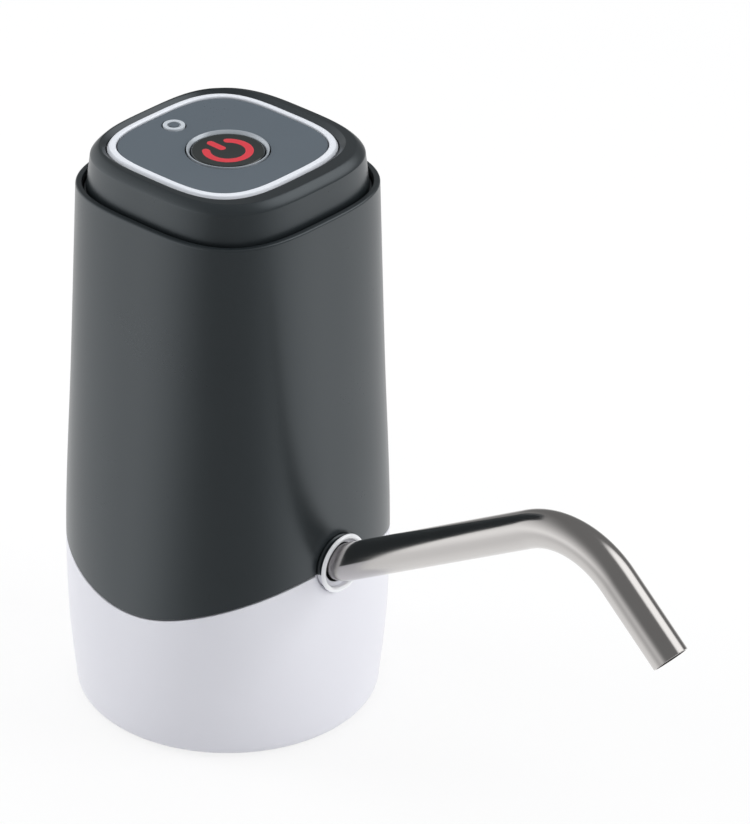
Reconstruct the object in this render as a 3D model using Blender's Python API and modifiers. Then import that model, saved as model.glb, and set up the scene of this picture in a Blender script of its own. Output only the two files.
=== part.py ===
"""Bottled water pump: a battery pump that caps the neck of a large water bottle.

The body is 138 mm tall. It starts as a circle at the foot, where the bottle neck
goes in, and turns into a rounded square at the rim. A white base and a dark sleeve
meet along a wavy joint, which runs low across the two side faces and high at the
spout and at the back. A bent steel spout leaves the front face through a round socket.

Inside, from the bottom up: the neck liner and suction fitting, a wobble-plate
diaphragm pump, its motor, the control board and the push button. The battery
stands beside the pump.

The foot rests on Z = 0 and the spout points along +X. The origin lies under the
middle of the whole outline, so the body's own axis is off to one side of it.
"""

import math

import bmesh
import bpy
from mathutils import Matrix, Vector

MM = 0.001

# Fits shared by all pieces
SEAT_GAP = 0.3 * MM
CUT_OVERRUN = 1.0 * MM
AROUND = 48

# Body outline: reach is from the axis to a corner, squareness is 2 for a circle
FOOT_REACH = 34.75 * MM
BELLY_REACH = 36.6 * MM
WAIST_SWELL = 1.65 * MM
RIM_REACH = 33.7 * MM
BELLY_HEIGHT_SHARE = 0.155
WAIST_HEIGHT_SHARE = 0.35
CHEST_HEIGHT_SHARE = 0.66
FOOT_SQUARENESS = 2.0
BELLY_SQUARENESS = 2.25
WAIST_SQUARENESS = 2.6
CHEST_SQUARENESS = 2.9
RIM_SQUARENESS = 3.2

# Wavy joint between the base and the sleeve, a rise above the neck's ceiling
JOINT_RISE = 7.0 * MM
JOINT_WAVE = 5.7 * MM
JOINT_FLATTENING = 0.8 * MM

# Base
BASE_WALL = 2.2 * MM
FOOT_FILLET = 2.5 * MM
FOOT_WEB = 2.5 * MM
TONGUE_HEIGHT = 3.0 * MM
TONGUE_WALL = 1.3 * MM
TONGUE_ROOT = 2.5 * MM
NECK_INSET = 5.65 * MM
NECK_WALL = 1.6 * MM
NECK_DEPTH = 30.0 * MM
NECK_CHAMFER = 0.9 * MM
CEILING = 2.5 * MM

# Sleeve
SLEEVE_WALL = 1.6 * MM
SLEEVE_RIM_ROUND = 0.5 * MM

# Cap
CAP_RISE = 8.5 * MM
CAP_SIDE_GAP = 0.7 * MM
CAP_TAPER = 1.0 * MM
CAP_SQUARENESS = 3.25
CAP_EDGE_RADIUS = 1.0 * MM
CAP_WALL = 1.5 * MM
CAP_SKIRT_DEPTH = 5.0 * MM
CAP_SHOULDER_DEPTH = 1.7 * MM
CAP_FLOOR_DEPTH = 3.1 * MM
CAP_FLOOR = 1.7 * MM

# Control panel, set back from the spout side
PANEL_SETBACK = 1.6 * MM
PANEL_SQUARENESS = 3.5
RING_BORDER = 4.9 * MM
RING_WIDTH = 2.0 * MM
RING_FLANK_DEPTH = 1.1 * MM
PANEL_DROP = 0.66 * MM
RECESS_SLOPE_WIDTH = 1.35 * MM
PANEL_DISH = 0.5 * MM
BUTTON_RADIUS = 8.2 * MM
BUTTON_THICKNESS = 1.2 * MM
BUTTON_DISH = 0.6 * MM
BUTTON_TRAVEL = 0.5 * MM
BUTTON_STEM_RADIUS = 2.2 * MM
BEZEL_WIDTH = 0.7 * MM
LIGHT_MARGIN = 5.1 * MM
LIGHT_RADIUS = 2.5 * MM
LIGHT_PIPE_RADIUS = 1.5 * MM

# Neck liner and suction fitting
LINER_WALL = 1.0 * MM
LINER_RIB = 0.5 * MM
LINER_FLANGE = 3.8 * MM
LINER_FLANGE_THICKNESS = 2.0 * MM
LINER_RIBS = 2
FITTING_STUB_RADIUS = 5.0 * MM
FITTING_FLANGE_RADIUS = 9.0 * MM
FITTING_FLANGE_THICKNESS = 1.8 * MM
FITTING_STUB_HEIGHT = 5.7 * MM
SUCTION_BARB_LENGTH = 16.0 * MM
SUCTION_BARB_RADIUS = 4.6 * MM
SUCTION_BORE_RADIUS = 2.6 * MM
NUT_RADIUS = 8.0 * MM
NUT_THICKNESS = 3.5 * MM

# Hose barbs and hoses of the pump
BARB_RADIUS = 3.1 * MM
BARB_ROOT_RADIUS = 2.6 * MM
BARB_BORE_RADIUS = 1.7 * MM
BARB_LENGTH = 5.5 * MM
HOSE_WALL = 1.5 * MM
PORT_OFFSET = 7.0 * MM

# Pump head, a square stack under the motor
PUMP_WIDTH = 26.0 * MM
PUMP_SQUARENESS = 7.0
COVER_HEIGHT = 7.0 * MM
VALVE_PLATE_THICKNESS = 2.5 * MM
SHEET_THICKNESS = 1.4 * MM
CUP_RING_RADIUS = 7.2 * MM
CUP_RADIUS = 3.8 * MM
CUP_HEIGHT = 3.6 * MM
CUP_WALL = 0.9 * MM
CUP_STEM_RADIUS = 1.1 * MM
CUPS = 3
SWING_HOUSING_WALL = 1.4 * MM
SWING_WEB = 1.8 * MM
WOBBLE_TILT = math.radians(5.5)
WOBBLE_THICKNESS = 1.8 * MM
WOBBLE_ARM_WIDTH = 4.6 * MM
WOBBLE_ARM_REACH = 9.2 * MM
WOBBLE_HUB_RADIUS = 2.6 * MM
WOBBLE_HUB_HEIGHT = 3.4 * MM
WOBBLE_HUB_CLEARANCE = 0.7 * MM
PIN_RADIUS = 0.75 * MM
PIN_SEAT_DEPTH = 2.1 * MM
ECCENTRIC_RADIUS = 5.2 * MM
ECCENTRIC_THICKNESS = 4.2 * MM
SHAFT_SEAT_DEPTH = 1.3 * MM
RUNNING_GAP = 0.15 * MM

# Motor
MOTOR_RADIUS = 12.2 * MM
MOTOR_LENGTH = 27.0 * MM
MOTOR_HEADROOM = 7.9 * MM
MOTOR_WALL = 1.0 * MM
MOTOR_BOSS_RADIUS = 3.0 * MM
MOTOR_BOSS_HEIGHT = 1.3 * MM
SHAFT_RADIUS = 1.0 * MM
MAGNET_THICKNESS = 2.0 * MM
MAGNET_END_ROOM = 9.0 * MM
MAGNET_ANGLE = math.radians(130)
AIR_GAP = 0.5 * MM
MAGNET_OVERHANG = 2.5 * MM
CORE_POLES = 3
COMMUTATOR_RADIUS = 2.6 * MM
COMMUTATOR_LENGTH = 4.0 * MM
END_BELL_THICKNESS = 2.4 * MM
TERMINAL_WIDTH = 2.2 * MM
TERMINAL_THICKNESS = 0.6 * MM
TERMINAL_HEIGHT = 2.6 * MM
TERMINAL_OFFSET = 7.5 * MM

# Battery
BATTERY_RADIUS = 9.1 * MM
BATTERY_LENGTH = 65.0 * MM
BATTERY_PUMP_GAP = 1.4 * MM
BATTERY_GROOVE = 0.5 * MM
BATTERY_TIP_RADIUS = 3.0 * MM
BATTERY_TIP_HEIGHT = 1.0 * MM
HOLDER_WALL = 1.4 * MM
HOLDER_FLOOR = 2.0 * MM
HOLDER_CLEARANCE = 2.8 * MM
HOLDER_ANGLE = math.radians(140)
TAB_THICKNESS = 0.4 * MM
TAB_LENGTH = 12.0 * MM
TAB_WIDTH = 5.0 * MM

# Inner frame, two halves that close on the motor and pump
FRAME_FLOOR = 2.0 * MM
FRAME_FLOOR_INSET = 1.7 * MM
RAIL_THICKNESS = 2.4 * MM
RAIL_WIDTH = 22.0 * MM
RAIL_CLEARANCE = 3.1 * MM
SHELF_THICKNESS = 2.7 * MM
DECK_THICKNESS = 3.0 * MM
DECK_DROP = 10.0 * MM
RAIL_WINDOW_WIDTH_SHARE = 0.5
RAIL_WINDOW_HEIGHT_SHARE = 0.75

# Control board
BOARD_DROP = 5.5 * MM
BOARD_THICKNESS = 1.6 * MM
BOARD_MARGIN = 1.0 * MM
SWITCH_WIDTH = 6.2 * MM
SWITCH_HEIGHT = 3.5 * MM
PLUNGER_RADIUS = 1.7 * MM
PLUNGER_REACH = 1.6 * MM
CHIP_LENGTH = 6.0 * MM
CHIP_WIDTH = 4.0 * MM
CHIP_HEIGHT = 1.5 * MM
COIL_WIDTH = 6.5 * MM
COIL_HEIGHT = 3.0 * MM
CAPACITOR_RADIUS = 2.5 * MM
CAPACITOR_HEIGHT = 5.4 * MM
INDICATOR_LENGTH = 3.0 * MM
INDICATOR_WIDTH = 1.6 * MM
INDICATOR_HEIGHT = 1.2 * MM
PORT_WIDTH = 9.0 * MM
PORT_HEIGHT = 3.3 * MM
PORT_DEPTH = 7.4 * MM
PORT_WALL = 0.35 * MM
PORT_INSET = 0.7 * MM
PORT_SLOT_GAP = 0.3 * MM
PORT_TONGUE_THICKNESS = 0.8 * MM

# Spout and its socket
SPOUT_JOINT_RISE = 0.8 * MM
SPOUT_KNEE_PROUD = 1.18 * MM
SPOUT_RADIUS = 4.3 * MM
SPOUT_WALL = 0.6 * MM
SPOUT_RISE_ANGLE = math.radians(29.8)
SPOUT_FALL_ANGLE = math.radians(41.0)
SPOUT_ARM_LENGTH = 78.1 * MM
SPOUT_TAIL_LENGTH = 35.9 * MM
SPOUT_BEND_RADIUS = 22.0 * MM
SPOUT_KNEE_RADIUS = 7.0 * MM
SEAL_WALL = 0.9 * MM
SOCKET_WALL = 0.7 * MM
SOCKET_FLANGE_WIDTH = 1.25 * MM
SOCKET_FLANGE_PROUD = 1.9 * MM
SOCKET_SEAT_DEPTH = 0.6 * MM
SOCKET_NECK_RADIUS = 3.6 * MM
SOCKET_END_WALL = 1.4 * MM
SOCKET_BACK_CLEARANCE = 0.84 * MM
SOCKET_BARB_LENGTH = 5.4 * MM
SOCKET_NUT_THICKNESS = 2.6 * MM
SOCKET_NUT_WIDTH = 2.2 * MM

# Wires
WIRE_RADIUS = 0.7 * MM


# Heights and places that follow from the sizes above, from the neck up to the cap
CEILING_TOP = NECK_DEPTH + CEILING
LEDGE_INSET = SLEEVE_WALL + SEAT_GAP
FITTING_TOP = CEILING_TOP + FITTING_STUB_HEIGHT
JOINT_HEIGHT = CEILING_TOP + JOINT_RISE
JOINT_CREST = JOINT_HEIGHT + JOINT_WAVE - JOINT_FLATTENING
SPOUT_HEIGHT = JOINT_CREST + SPOUT_JOINT_RISE
SOCKET_BARB_BOTTOM = SPOUT_HEIGHT + SOCKET_NECK_RADIUS - SEAT_GAP
SOCKET_BARB_TOP = SOCKET_BARB_BOTTOM + SOCKET_BARB_LENGTH
PUMP_SEAT_HEIGHT = SOCKET_BARB_TOP + 2 * SEAT_GAP + BARB_LENGTH
PUMP_X = PORT_OFFSET
BATTERY_X = PUMP_X - PUMP_WIDTH / 2 - BATTERY_PUMP_GAP - BATTERY_RADIUS
HOLDER_REACH = BATTERY_RADIUS + SEAT_GAP + HOLDER_WALL - BATTERY_X
CHEST_HALF_WIDTH = HOLDER_REACH + HOLDER_CLEARANCE + SLEEVE_WALL
CHEST_REACH = CHEST_HALF_WIDTH * 2 ** (1 / 2 - 1 / CHEST_SQUARENESS)
WAIST_REACH = CHEST_REACH + WAIST_SWELL
FRAME_BOTTOM = CEILING_TOP + SEAT_GAP
HOLDER_BOTTOM = FRAME_BOTTOM + FRAME_FLOOR + SEAT_GAP
BATTERY_BOTTOM = HOLDER_BOTTOM + HOLDER_FLOOR + TAB_THICKNESS + 2 * SEAT_GAP
BATTERY_TOP = BATTERY_BOTTOM + BATTERY_LENGTH
SHELF_TOP = PUMP_SEAT_HEIGHT - SEAT_GAP
VALVE_PLATE_BOTTOM = PUMP_SEAT_HEIGHT + COVER_HEIGHT + SEAT_GAP
SHEET_BOTTOM = VALVE_PLATE_BOTTOM + VALVE_PLATE_THICKNESS + SEAT_GAP
SWING_BOTTOM = SHEET_BOTTOM + SHEET_THICKNESS + SEAT_GAP
WOBBLE_PIVOT_HEIGHT = SWING_BOTTOM + CUP_HEIGHT + SEAT_GAP + WOBBLE_THICKNESS
ECCENTRIC_BOTTOM = WOBBLE_PIVOT_HEIGHT + WOBBLE_HUB_HEIGHT + WOBBLE_HUB_CLEARANCE
ECCENTRIC_TOP = ECCENTRIC_BOTTOM + ECCENTRIC_THICKNESS
PIN_END = ECCENTRIC_BOTTOM + PIN_SEAT_DEPTH - WOBBLE_PIVOT_HEIGHT
SWING_TOP = ECCENTRIC_TOP + 4 * SEAT_GAP + SWING_WEB
SWING_HOUSING_HEIGHT = SWING_TOP - SWING_BOTTOM
MOTOR_BOTTOM = SWING_TOP + SEAT_GAP
MOTOR_TOP = MOTOR_BOTTOM + MOTOR_LENGTH
MAGNET_LENGTH = MOTOR_LENGTH - MAGNET_END_ROOM
CORE_LENGTH = MAGNET_LENGTH - 2 * MAGNET_OVERHANG
BOARD_BOTTOM = MOTOR_TOP + MOTOR_HEADROOM
BOARD_TOP = BOARD_BOTTOM + BOARD_THICKNESS
SLEEVE_TOP = BOARD_BOTTOM + BOARD_DROP
BODY_HEIGHT = SLEEVE_TOP + CAP_RISE
CAP_REACH = RIM_REACH - SLEEVE_WALL - CAP_SIDE_GAP
CAP_LIP_REACH = CAP_REACH - CAP_TAPER
RING_REACH = CAP_LIP_REACH - RING_BORDER
RECESS_FLOOR = BODY_HEIGHT - CAP_FLOOR_DEPTH
CAP_UNDERSIDE = RECESS_FLOOR - CAP_FLOOR
PANEL_BOTTOM = RECESS_FLOOR + SEAT_GAP
PANEL_EDGE_TOP = BODY_HEIGHT - PANEL_DROP
PANEL_CENTRE_TOP = PANEL_EDGE_TOP - PANEL_DISH
BEZEL_RADIUS = BUTTON_RADIUS + SEAT_GAP + BEZEL_WIDTH
SEAL_BORE_RADIUS = SPOUT_RADIUS + SEAT_GAP
SEAL_RADIUS = SEAL_BORE_RADIUS + SEAL_WALL
SOCKET_BORE_RADIUS = SEAL_RADIUS + SEAT_GAP
SOCKET_RADIUS = SOCKET_BORE_RADIUS + SOCKET_WALL
SOCKET_FLANGE_RADIUS = SOCKET_BORE_RADIUS + SOCKET_FLANGE_WIDTH
OUTLET_X = PUMP_X + PORT_OFFSET
HOSE_RADIUS = BARB_RADIUS + SEAT_GAP + HOSE_WALL
SOCKET_BACK = OUTLET_X + HOSE_RADIUS + SOCKET_BACK_CLEARANCE
SOCKET_BORE_END = SOCKET_BACK + SOCKET_END_WALL
SPOUT_INNER_END = SOCKET_BORE_END + SEAT_GAP


# Body outline

def through(stations, place):
    """Value at a place on a smooth curve through (place, value) stations."""
    last = len(stations) - 2
    index = 0
    while index < last and place > stations[index + 1][0]:
        index += 1
    slopes = []
    for i in (index, index + 1):
        before = stations[max(i - 1, 0)]
        after = stations[min(i + 1, len(stations) - 1)]
        slopes.append((after[1] - before[1]) / (after[0] - before[0]))
    start, end = stations[index], stations[index + 1]
    span = end[0] - start[0]
    t = (place - start[0]) / span
    rise = (1 + 2 * t) * (1 - t) ** 2 * start[1] + t * t * (3 - 2 * t) * end[1]
    return rise + span * (t * (1 - t) ** 2 * slopes[0] - t * t * (1 - t) * slopes[1])


STATION_HEIGHTS = (
    0,
    SLEEVE_TOP * BELLY_HEIGHT_SHARE,
    SLEEVE_TOP * WAIST_HEIGHT_SHARE,
    SLEEVE_TOP * CHEST_HEIGHT_SHARE,
    SLEEVE_TOP,
)
REACHES = (FOOT_REACH, BELLY_REACH, WAIST_REACH, CHEST_REACH, RIM_REACH)
SQUARENESSES = (FOOT_SQUARENESS, BELLY_SQUARENESS, WAIST_SQUARENESS, CHEST_SQUARENESS, RIM_SQUARENESS)
REACH_STATIONS = tuple(zip(STATION_HEIGHTS, REACHES))
SQUARENESS_STATIONS = tuple(zip(STATION_HEIGHTS, SQUARENESSES))


def angles():
    """The angles of the points of every section loop."""
    return [2 * math.pi * k / AROUND for k in range(AROUND)]


def section_radius(angle, reach, squareness):
    """Radius at an angle of a rounded square whose corners are a reach away."""
    half_width = reach / 2 ** (0.5 - 1 / squareness)
    cosine = abs(math.cos(angle)) ** squareness
    sine = abs(math.sin(angle)) ** squareness
    return half_width / (cosine + sine) ** (1 / squareness)


def body_radius(angle, height):
    """Radius of the outer skin of the body at an angle and a height."""
    return section_radius(angle, through(REACH_STATIONS, height), through(SQUARENESS_STATIONS, height))


def body_half_width(height):
    """Distance from the axis to the middle of a face."""
    return body_radius(0, height)


def half_width(reach, squareness):
    """Distance from the middle of a rounded square to the middle of a side."""
    return section_radius(0, reach, squareness)


def joint_height(angle):
    """Height of the wavy joint between the base and the sleeve."""
    return JOINT_HEIGHT + JOINT_WAVE * math.cos(2 * angle) - JOINT_FLATTENING * math.cos(4 * angle)


def body_loop(height, inset=0):
    """Closed loop on the body outline; height is a number or a function of the angle."""
    loop = []
    for angle in angles():
        level = height(angle) if callable(height) else height
        radius = body_radius(angle, level) - inset
        loop.append(Vector((radius * math.cos(angle), radius * math.sin(angle), level)))
    return loop


def section_loop(reach, squareness, height, setback=0):
    """Closed loop of a rounded square at a height, moved back by a setback."""
    loop = []
    for angle in angles():
        radius = section_radius(angle, reach, squareness)
        loop.append(Vector((radius * math.cos(angle) - setback, radius * math.sin(angle), height)))
    return loop


def circle_loop(radius, height):
    """Closed circular loop around the body axis."""
    return section_loop(radius, FOOT_SQUARENESS, height)


# Sizes that follow from the outline

NARROWEST_BASE = min(body_half_width(CEILING_TOP * k / AROUND) for k in range(AROUND + 1))
NECK_BORE_RADIUS = NARROWEST_BASE - NECK_INSET
FRAME_FLOOR_RADIUS = NECK_BORE_RADIUS + NECK_WALL - FRAME_FLOOR_INSET
PANEL_HALF_WIDTH = half_width(RING_REACH - RING_WIDTH - SEAT_GAP, PANEL_SQUARENESS)
LIGHT_SETBACK = PANEL_HALF_WIDTH + PANEL_SETBACK - LIGHT_MARGIN
SPOUT_KNEE_REACH = body_half_width(SPOUT_HEIGHT) + SPOUT_KNEE_PROUD
SPOUT_KNEE_TRIM = SPOUT_KNEE_RADIUS * math.tan(SPOUT_RISE_ANGLE / 2)
SPOUT_INSERTION = SPOUT_KNEE_REACH - SPOUT_KNEE_TRIM - SPOUT_INNER_END


# Making objects

def clear_scene():
    """Remove every object of the scene."""
    for old in list(bpy.data.objects):
        bpy.data.objects.remove(old, do_unlink=True)


def new_collection(name):
    """Add a collection to the scene."""
    collection = bpy.data.collections.new(name)
    bpy.context.scene.collection.children.link(collection)
    return collection


clear_scene()
PIECES = new_collection("bottled_water_pump")
TOOLS = new_collection("cutters")
BODY_AXIS = bpy.data.objects.new("body_axis", None)
PIECES.objects.link(BODY_AXIS)


def finish(name, colour, roughness, metallic=0.0):
    """Material with the piece's colour, roughness and metallic value."""
    material = bpy.data.materials.new(name)
    material.use_nodes = True
    shader = material.node_tree.nodes["Principled BSDF"]
    shader.inputs["Base Color"].default_value = (*colour, 1.0)
    shader.inputs["Roughness"].default_value = roughness
    shader.inputs["Metallic"].default_value = metallic
    return material


FINISHES = {
    "white_plastic": ((0.83, 0.83, 0.85), 0.35, 0.0),
    "dark_plastic": ((0.036, 0.042, 0.047), 0.42, 0.0),
    "black_gloss": ((0.012, 0.014, 0.015), 0.08, 0.0),
    "panel_grey": ((0.06, 0.072, 0.08), 0.25, 0.0),
    "silver": ((0.72, 0.75, 0.8), 0.25, 0.9),
    "steel": ((0.62, 0.61, 0.6), 0.12, 1.0),
    "rubber": ((0.05, 0.05, 0.05), 0.7, 0.0),
    "silicone": ((0.72, 0.74, 0.74), 0.5, 0.0),
    "natural_plastic": ((0.62, 0.6, 0.52), 0.5, 0.0),
    "board_green": ((0.02, 0.16, 0.07), 0.45, 0.0),
    "component_black": ((0.02, 0.02, 0.02), 0.5, 0.0),
    "nickel": ((0.55, 0.53, 0.48), 0.3, 1.0),
    "copper": ((0.7, 0.3, 0.15), 0.35, 1.0),
    "magnet_grey": ((0.1, 0.1, 0.1), 0.6, 0.2),
    "battery_blue": ((0.02, 0.12, 0.3), 0.35, 0.0),
    "light_white": ((0.85, 0.88, 0.9), 0.2, 0.0),
    "red_wire": ((0.5, 0.02, 0.02), 0.5, 0.0),
    "black_wire": ((0.02, 0.02, 0.02), 0.5, 0.0),
}


def place(name, mesh, look, location=(0, 0, 0), rotation=(0, 0, 0)):
    """Put a mesh into the scene as a piece of the pump, or as a cutter without a look."""
    piece = bpy.data.objects.new(name, mesh)
    piece.location = location
    piece.rotation_euler = rotation
    piece.parent = BODY_AXIS
    if look is None:
        TOOLS.objects.link(piece)
        piece.hide_render = True
        piece.display_type = "WIRE"
        return piece
    PIECES.objects.link(piece)
    mesh.materials.append(finish(name, *FINISHES[look]))
    mesh.shade_smooth()
    mesh.set_sharp_from_angle(angle=math.radians(35))
    return piece


def mesh_from(name, build):
    """Mesh filled by a function that draws into a bmesh."""
    mesh = bpy.data.meshes.new(name)
    drawing = bmesh.new()
    build(drawing)
    bmesh.ops.recalc_face_normals(drawing, faces=drawing.faces[:])
    drawing.to_mesh(mesh)
    drawing.free()
    return mesh


def loft(name, loops, look, location=(0, 0, 0), rotation=(0, 0, 0), closed=True):
    """Skin over loops of equal count; the last loop joins the first, or both ends are capped."""
    def build(drawing):
        rings = [[drawing.verts.new(point) for point in loop] for loop in loops]
        pairs = list(zip(rings, rings[1:]))
        if closed:
            pairs.append((rings[-1], rings[0]))
        else:
            drawing.faces.new(rings[0])
            drawing.faces.new(rings[-1])
        for lower, upper in pairs:
            for k in range(len(lower)):
                after = (k + 1) % len(lower)
                drawing.faces.new((lower[k], lower[after], upper[after], upper[k]))
    return place(name, mesh_from(name, build), look, location, rotation)


def turned(name, profile, look, steps=32, location=(0, 0, 0), rotation=(0, 0, 0)):
    """Turned piece: (radius, height) points down the outer side, back up the bore if it has one."""
    mesh = bpy.data.meshes.new(name)
    drawing = bmesh.new()
    points = [drawing.verts.new((radius, 0, height)) for radius, height in profile]
    for one, other in zip(points, points[1:]):
        drawing.edges.new((one, other))
    if profile[0][0] > 0:
        drawing.edges.new((points[-1], points[0]))
    drawing.to_mesh(mesh)
    drawing.free()
    piece = place(name, mesh, look, location, rotation)
    screw = piece.modifiers.new("turn", "SCREW")
    screw.steps = steps
    screw.render_steps = steps
    screw.use_merge_vertices = True
    screw.merge_threshold = 0.01 * MM
    screw.use_smooth_shade = True
    return piece


def block(name, low, high, look=None, location=(0, 0, 0), rotation=(0, 0, 0), rounding=0):
    """Box between two corners, with its upright edges rounded."""
    size = Vector(high) - Vector(low)
    centre = (Vector(high) + Vector(low)) / 2

    def build(drawing):
        bmesh.ops.create_cube(drawing, size=1)
        bmesh.ops.scale(drawing, vec=size, verts=drawing.verts[:])
        bmesh.ops.translate(drawing, vec=centre, verts=drawing.verts[:])
        if rounding:
            upright = [e for e in drawing.edges if abs(e.verts[0].co.z - e.verts[1].co.z) > size.z / 2]
            bmesh.ops.bevel(drawing, geom=upright, offset=rounding, segments=3, profile=0.5, affect="EDGES")
    return place(name, mesh_from(name, build), look, location, rotation)


def rod(name, radius, low, high, look=None, steps=24, location=(0, 0, 0), rotation=(0, 0, 0)):
    """Cylinder along its own Z between two heights."""
    def build(drawing):
        bmesh.ops.create_cone(
            drawing, cap_ends=True, segments=steps, radius1=radius, radius2=radius, depth=high - low
        )
        bmesh.ops.translate(drawing, vec=(0, 0, (high + low) / 2), verts=drawing.verts[:])
    return place(name, mesh_from(name, build), look, location, rotation)


def arc_prism(name, inner, outer, start, end, low, high, look=None, steps=16, location=(0, 0, 0)):
    """Part of a ring between two angles and two heights."""
    def corner_points(radius, height):
        points = []
        for k in range(steps + 1):
            angle = start + (end - start) * k / steps
            points.append(Vector((radius * math.cos(angle), radius * math.sin(angle), height)))
        return points

    def outline(height):
        return corner_points(outer, height) + corner_points(inner, height)[::-1]
    return loft(name, [outline(low), outline(high)], look, location, closed=False)


def combine(piece, tool, operation):
    """Boolean of a piece with a tool solid."""
    change = piece.modifiers.new(tool.name, "BOOLEAN")
    change.operation = operation
    change.object = tool
    change.solver = "EXACT"
    return piece


def cut(piece, tool):
    """Take a tool solid away from a piece."""
    return combine(piece, tool, "DIFFERENCE")


def add(piece, tool):
    """Join a tool solid onto a piece."""
    return combine(piece, tool, "UNION")


def swept(name, points, radius, look, resolution=2, location=(0, 0, 0)):
    """Round bar along points, as a mesh with welded caps."""
    curve = bpy.data.curves.new(name, "CURVE")
    curve.dimensions = "3D"
    curve.bevel_depth = radius
    curve.bevel_resolution = resolution
    curve.use_fill_caps = True
    spline = curve.splines.new("POLY")
    spline.points.add(len(points) - 1)
    for target, point in zip(spline.points, points):
        target.co = (*point, 1)
    guide = bpy.data.objects.new(name + "_route", curve)
    TOOLS.objects.link(guide)
    evaluated = guide.evaluated_get(bpy.context.evaluated_depsgraph_get())
    mesh = bpy.data.meshes.new_from_object(evaluated)
    mesh.name = name
    bpy.data.objects.remove(guide, do_unlink=True)
    bpy.data.curves.remove(curve)
    drawing = bmesh.new()
    drawing.from_mesh(mesh)
    bmesh.ops.remove_doubles(drawing, verts=drawing.verts[:], dist=0.001 * MM)
    bmesh.ops.recalc_face_normals(drawing, faces=drawing.faces[:])
    drawing.to_mesh(mesh)
    drawing.free()
    mesh.materials.clear()
    return place(name, mesh, look, location)


def barb_profile(root, peak, length, teeth):
    """Outer (radius, height) points of a hose barb that hangs from height 0."""
    points = [(root, 0)]
    for tooth in range(teeth):
        top = -length * tooth / teeth
        bottom = -length * (tooth + 1) / teeth
        shoulder = top - (top - bottom) / 3
        points += [(root, shoulder), (peak, shoulder), (root, bottom)]
    return points


def round_corner(corner_reach, corner_height, radius, steps):
    """(reach, height) points of a rounded top edge, from the side up to the top."""
    points = []
    for k in range(steps + 1):
        angle = math.pi / 2 * k / steps
        reach = corner_reach - radius * (1 - math.cos(angle))
        points.append((reach, corner_height - radius * (1 - math.sin(angle))))
    return points


# Base

def make_base_housing():
    """White base: outer wall up to the wavy joint, tongue, and the neck socket inside it."""
    loops = []
    for k in range(4):
        angle = math.pi / 2 * k / 3
        inset = FOOT_FILLET * (1 - math.sin(angle))
        loops.append(body_loop(FOOT_FILLET * (1 - math.cos(angle)), inset))
    rows = 4
    for row in range(1, rows + 1):
        def level(angle, row=row):
            return FOOT_FILLET + (joint_height(angle) - FOOT_FILLET) * row / rows
        loops.append(body_loop(level))
    tongue_inset = LEDGE_INSET + TONGUE_WALL
    root_slope = tongue_inset - BASE_WALL

    def above_joint(rise):
        return lambda angle: joint_height(angle) + rise

    def up_the_wall(share):
        return lambda angle: FOOT_WEB + (joint_height(angle) - TONGUE_ROOT - root_slope - FOOT_WEB) * share
    loops.append(body_loop(above_joint(0), LEDGE_INSET))
    loops.append(body_loop(above_joint(TONGUE_HEIGHT), LEDGE_INSET))
    loops.append(body_loop(above_joint(TONGUE_HEIGHT), tongue_inset))
    loops.append(body_loop(above_joint(-TONGUE_ROOT), tongue_inset))
    loops += [body_loop(up_the_wall(row / rows), BASE_WALL) for row in range(rows, -1, -1)]
    neck_radius = NECK_BORE_RADIUS + NECK_WALL
    hole_radius = FITTING_STUB_RADIUS + SEAT_GAP
    loops.append(circle_loop(neck_radius, FOOT_WEB))
    loops.append(circle_loop(neck_radius, CEILING_TOP))
    loops.append(circle_loop(hole_radius, CEILING_TOP))
    loops.append(circle_loop(hole_radius, NECK_DEPTH))
    loops.append(circle_loop(NECK_BORE_RADIUS, NECK_DEPTH))
    loops.append(circle_loop(NECK_BORE_RADIUS, NECK_CHAMFER))
    loops.append(circle_loop(NECK_BORE_RADIUS + NECK_CHAMFER, 0))
    return loft("base_housing", loops, "white_plastic")


def make_neck_liner():
    """Soft sleeve that grips the bottle neck, with ribs and a sealing flange at the top."""
    outer = NECK_BORE_RADIUS - SEAT_GAP
    inner = outer - LINER_WALL
    top = NECK_DEPTH - SEAT_GAP
    bottom = NECK_CHAMFER + NECK_WALL
    flange_bottom = top - LINER_FLANGE_THICKNESS
    profile = [(outer, top), (outer, bottom), (inner, bottom)]
    pitch = (flange_bottom - bottom) / (LINER_RIBS + 1)
    for rib in range(1, LINER_RIBS + 1):
        height = bottom + pitch * rib
        profile += [
            (inner, height - LINER_RIB),
            (inner - LINER_RIB, height),
            (inner, height + LINER_RIB),
        ]
    profile += [
        (inner, flange_bottom),
        (inner - LINER_FLANGE, flange_bottom),
        (inner - LINER_FLANGE, top),
    ]
    return turned("neck_liner", profile, "silicone", steps=32)


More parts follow.
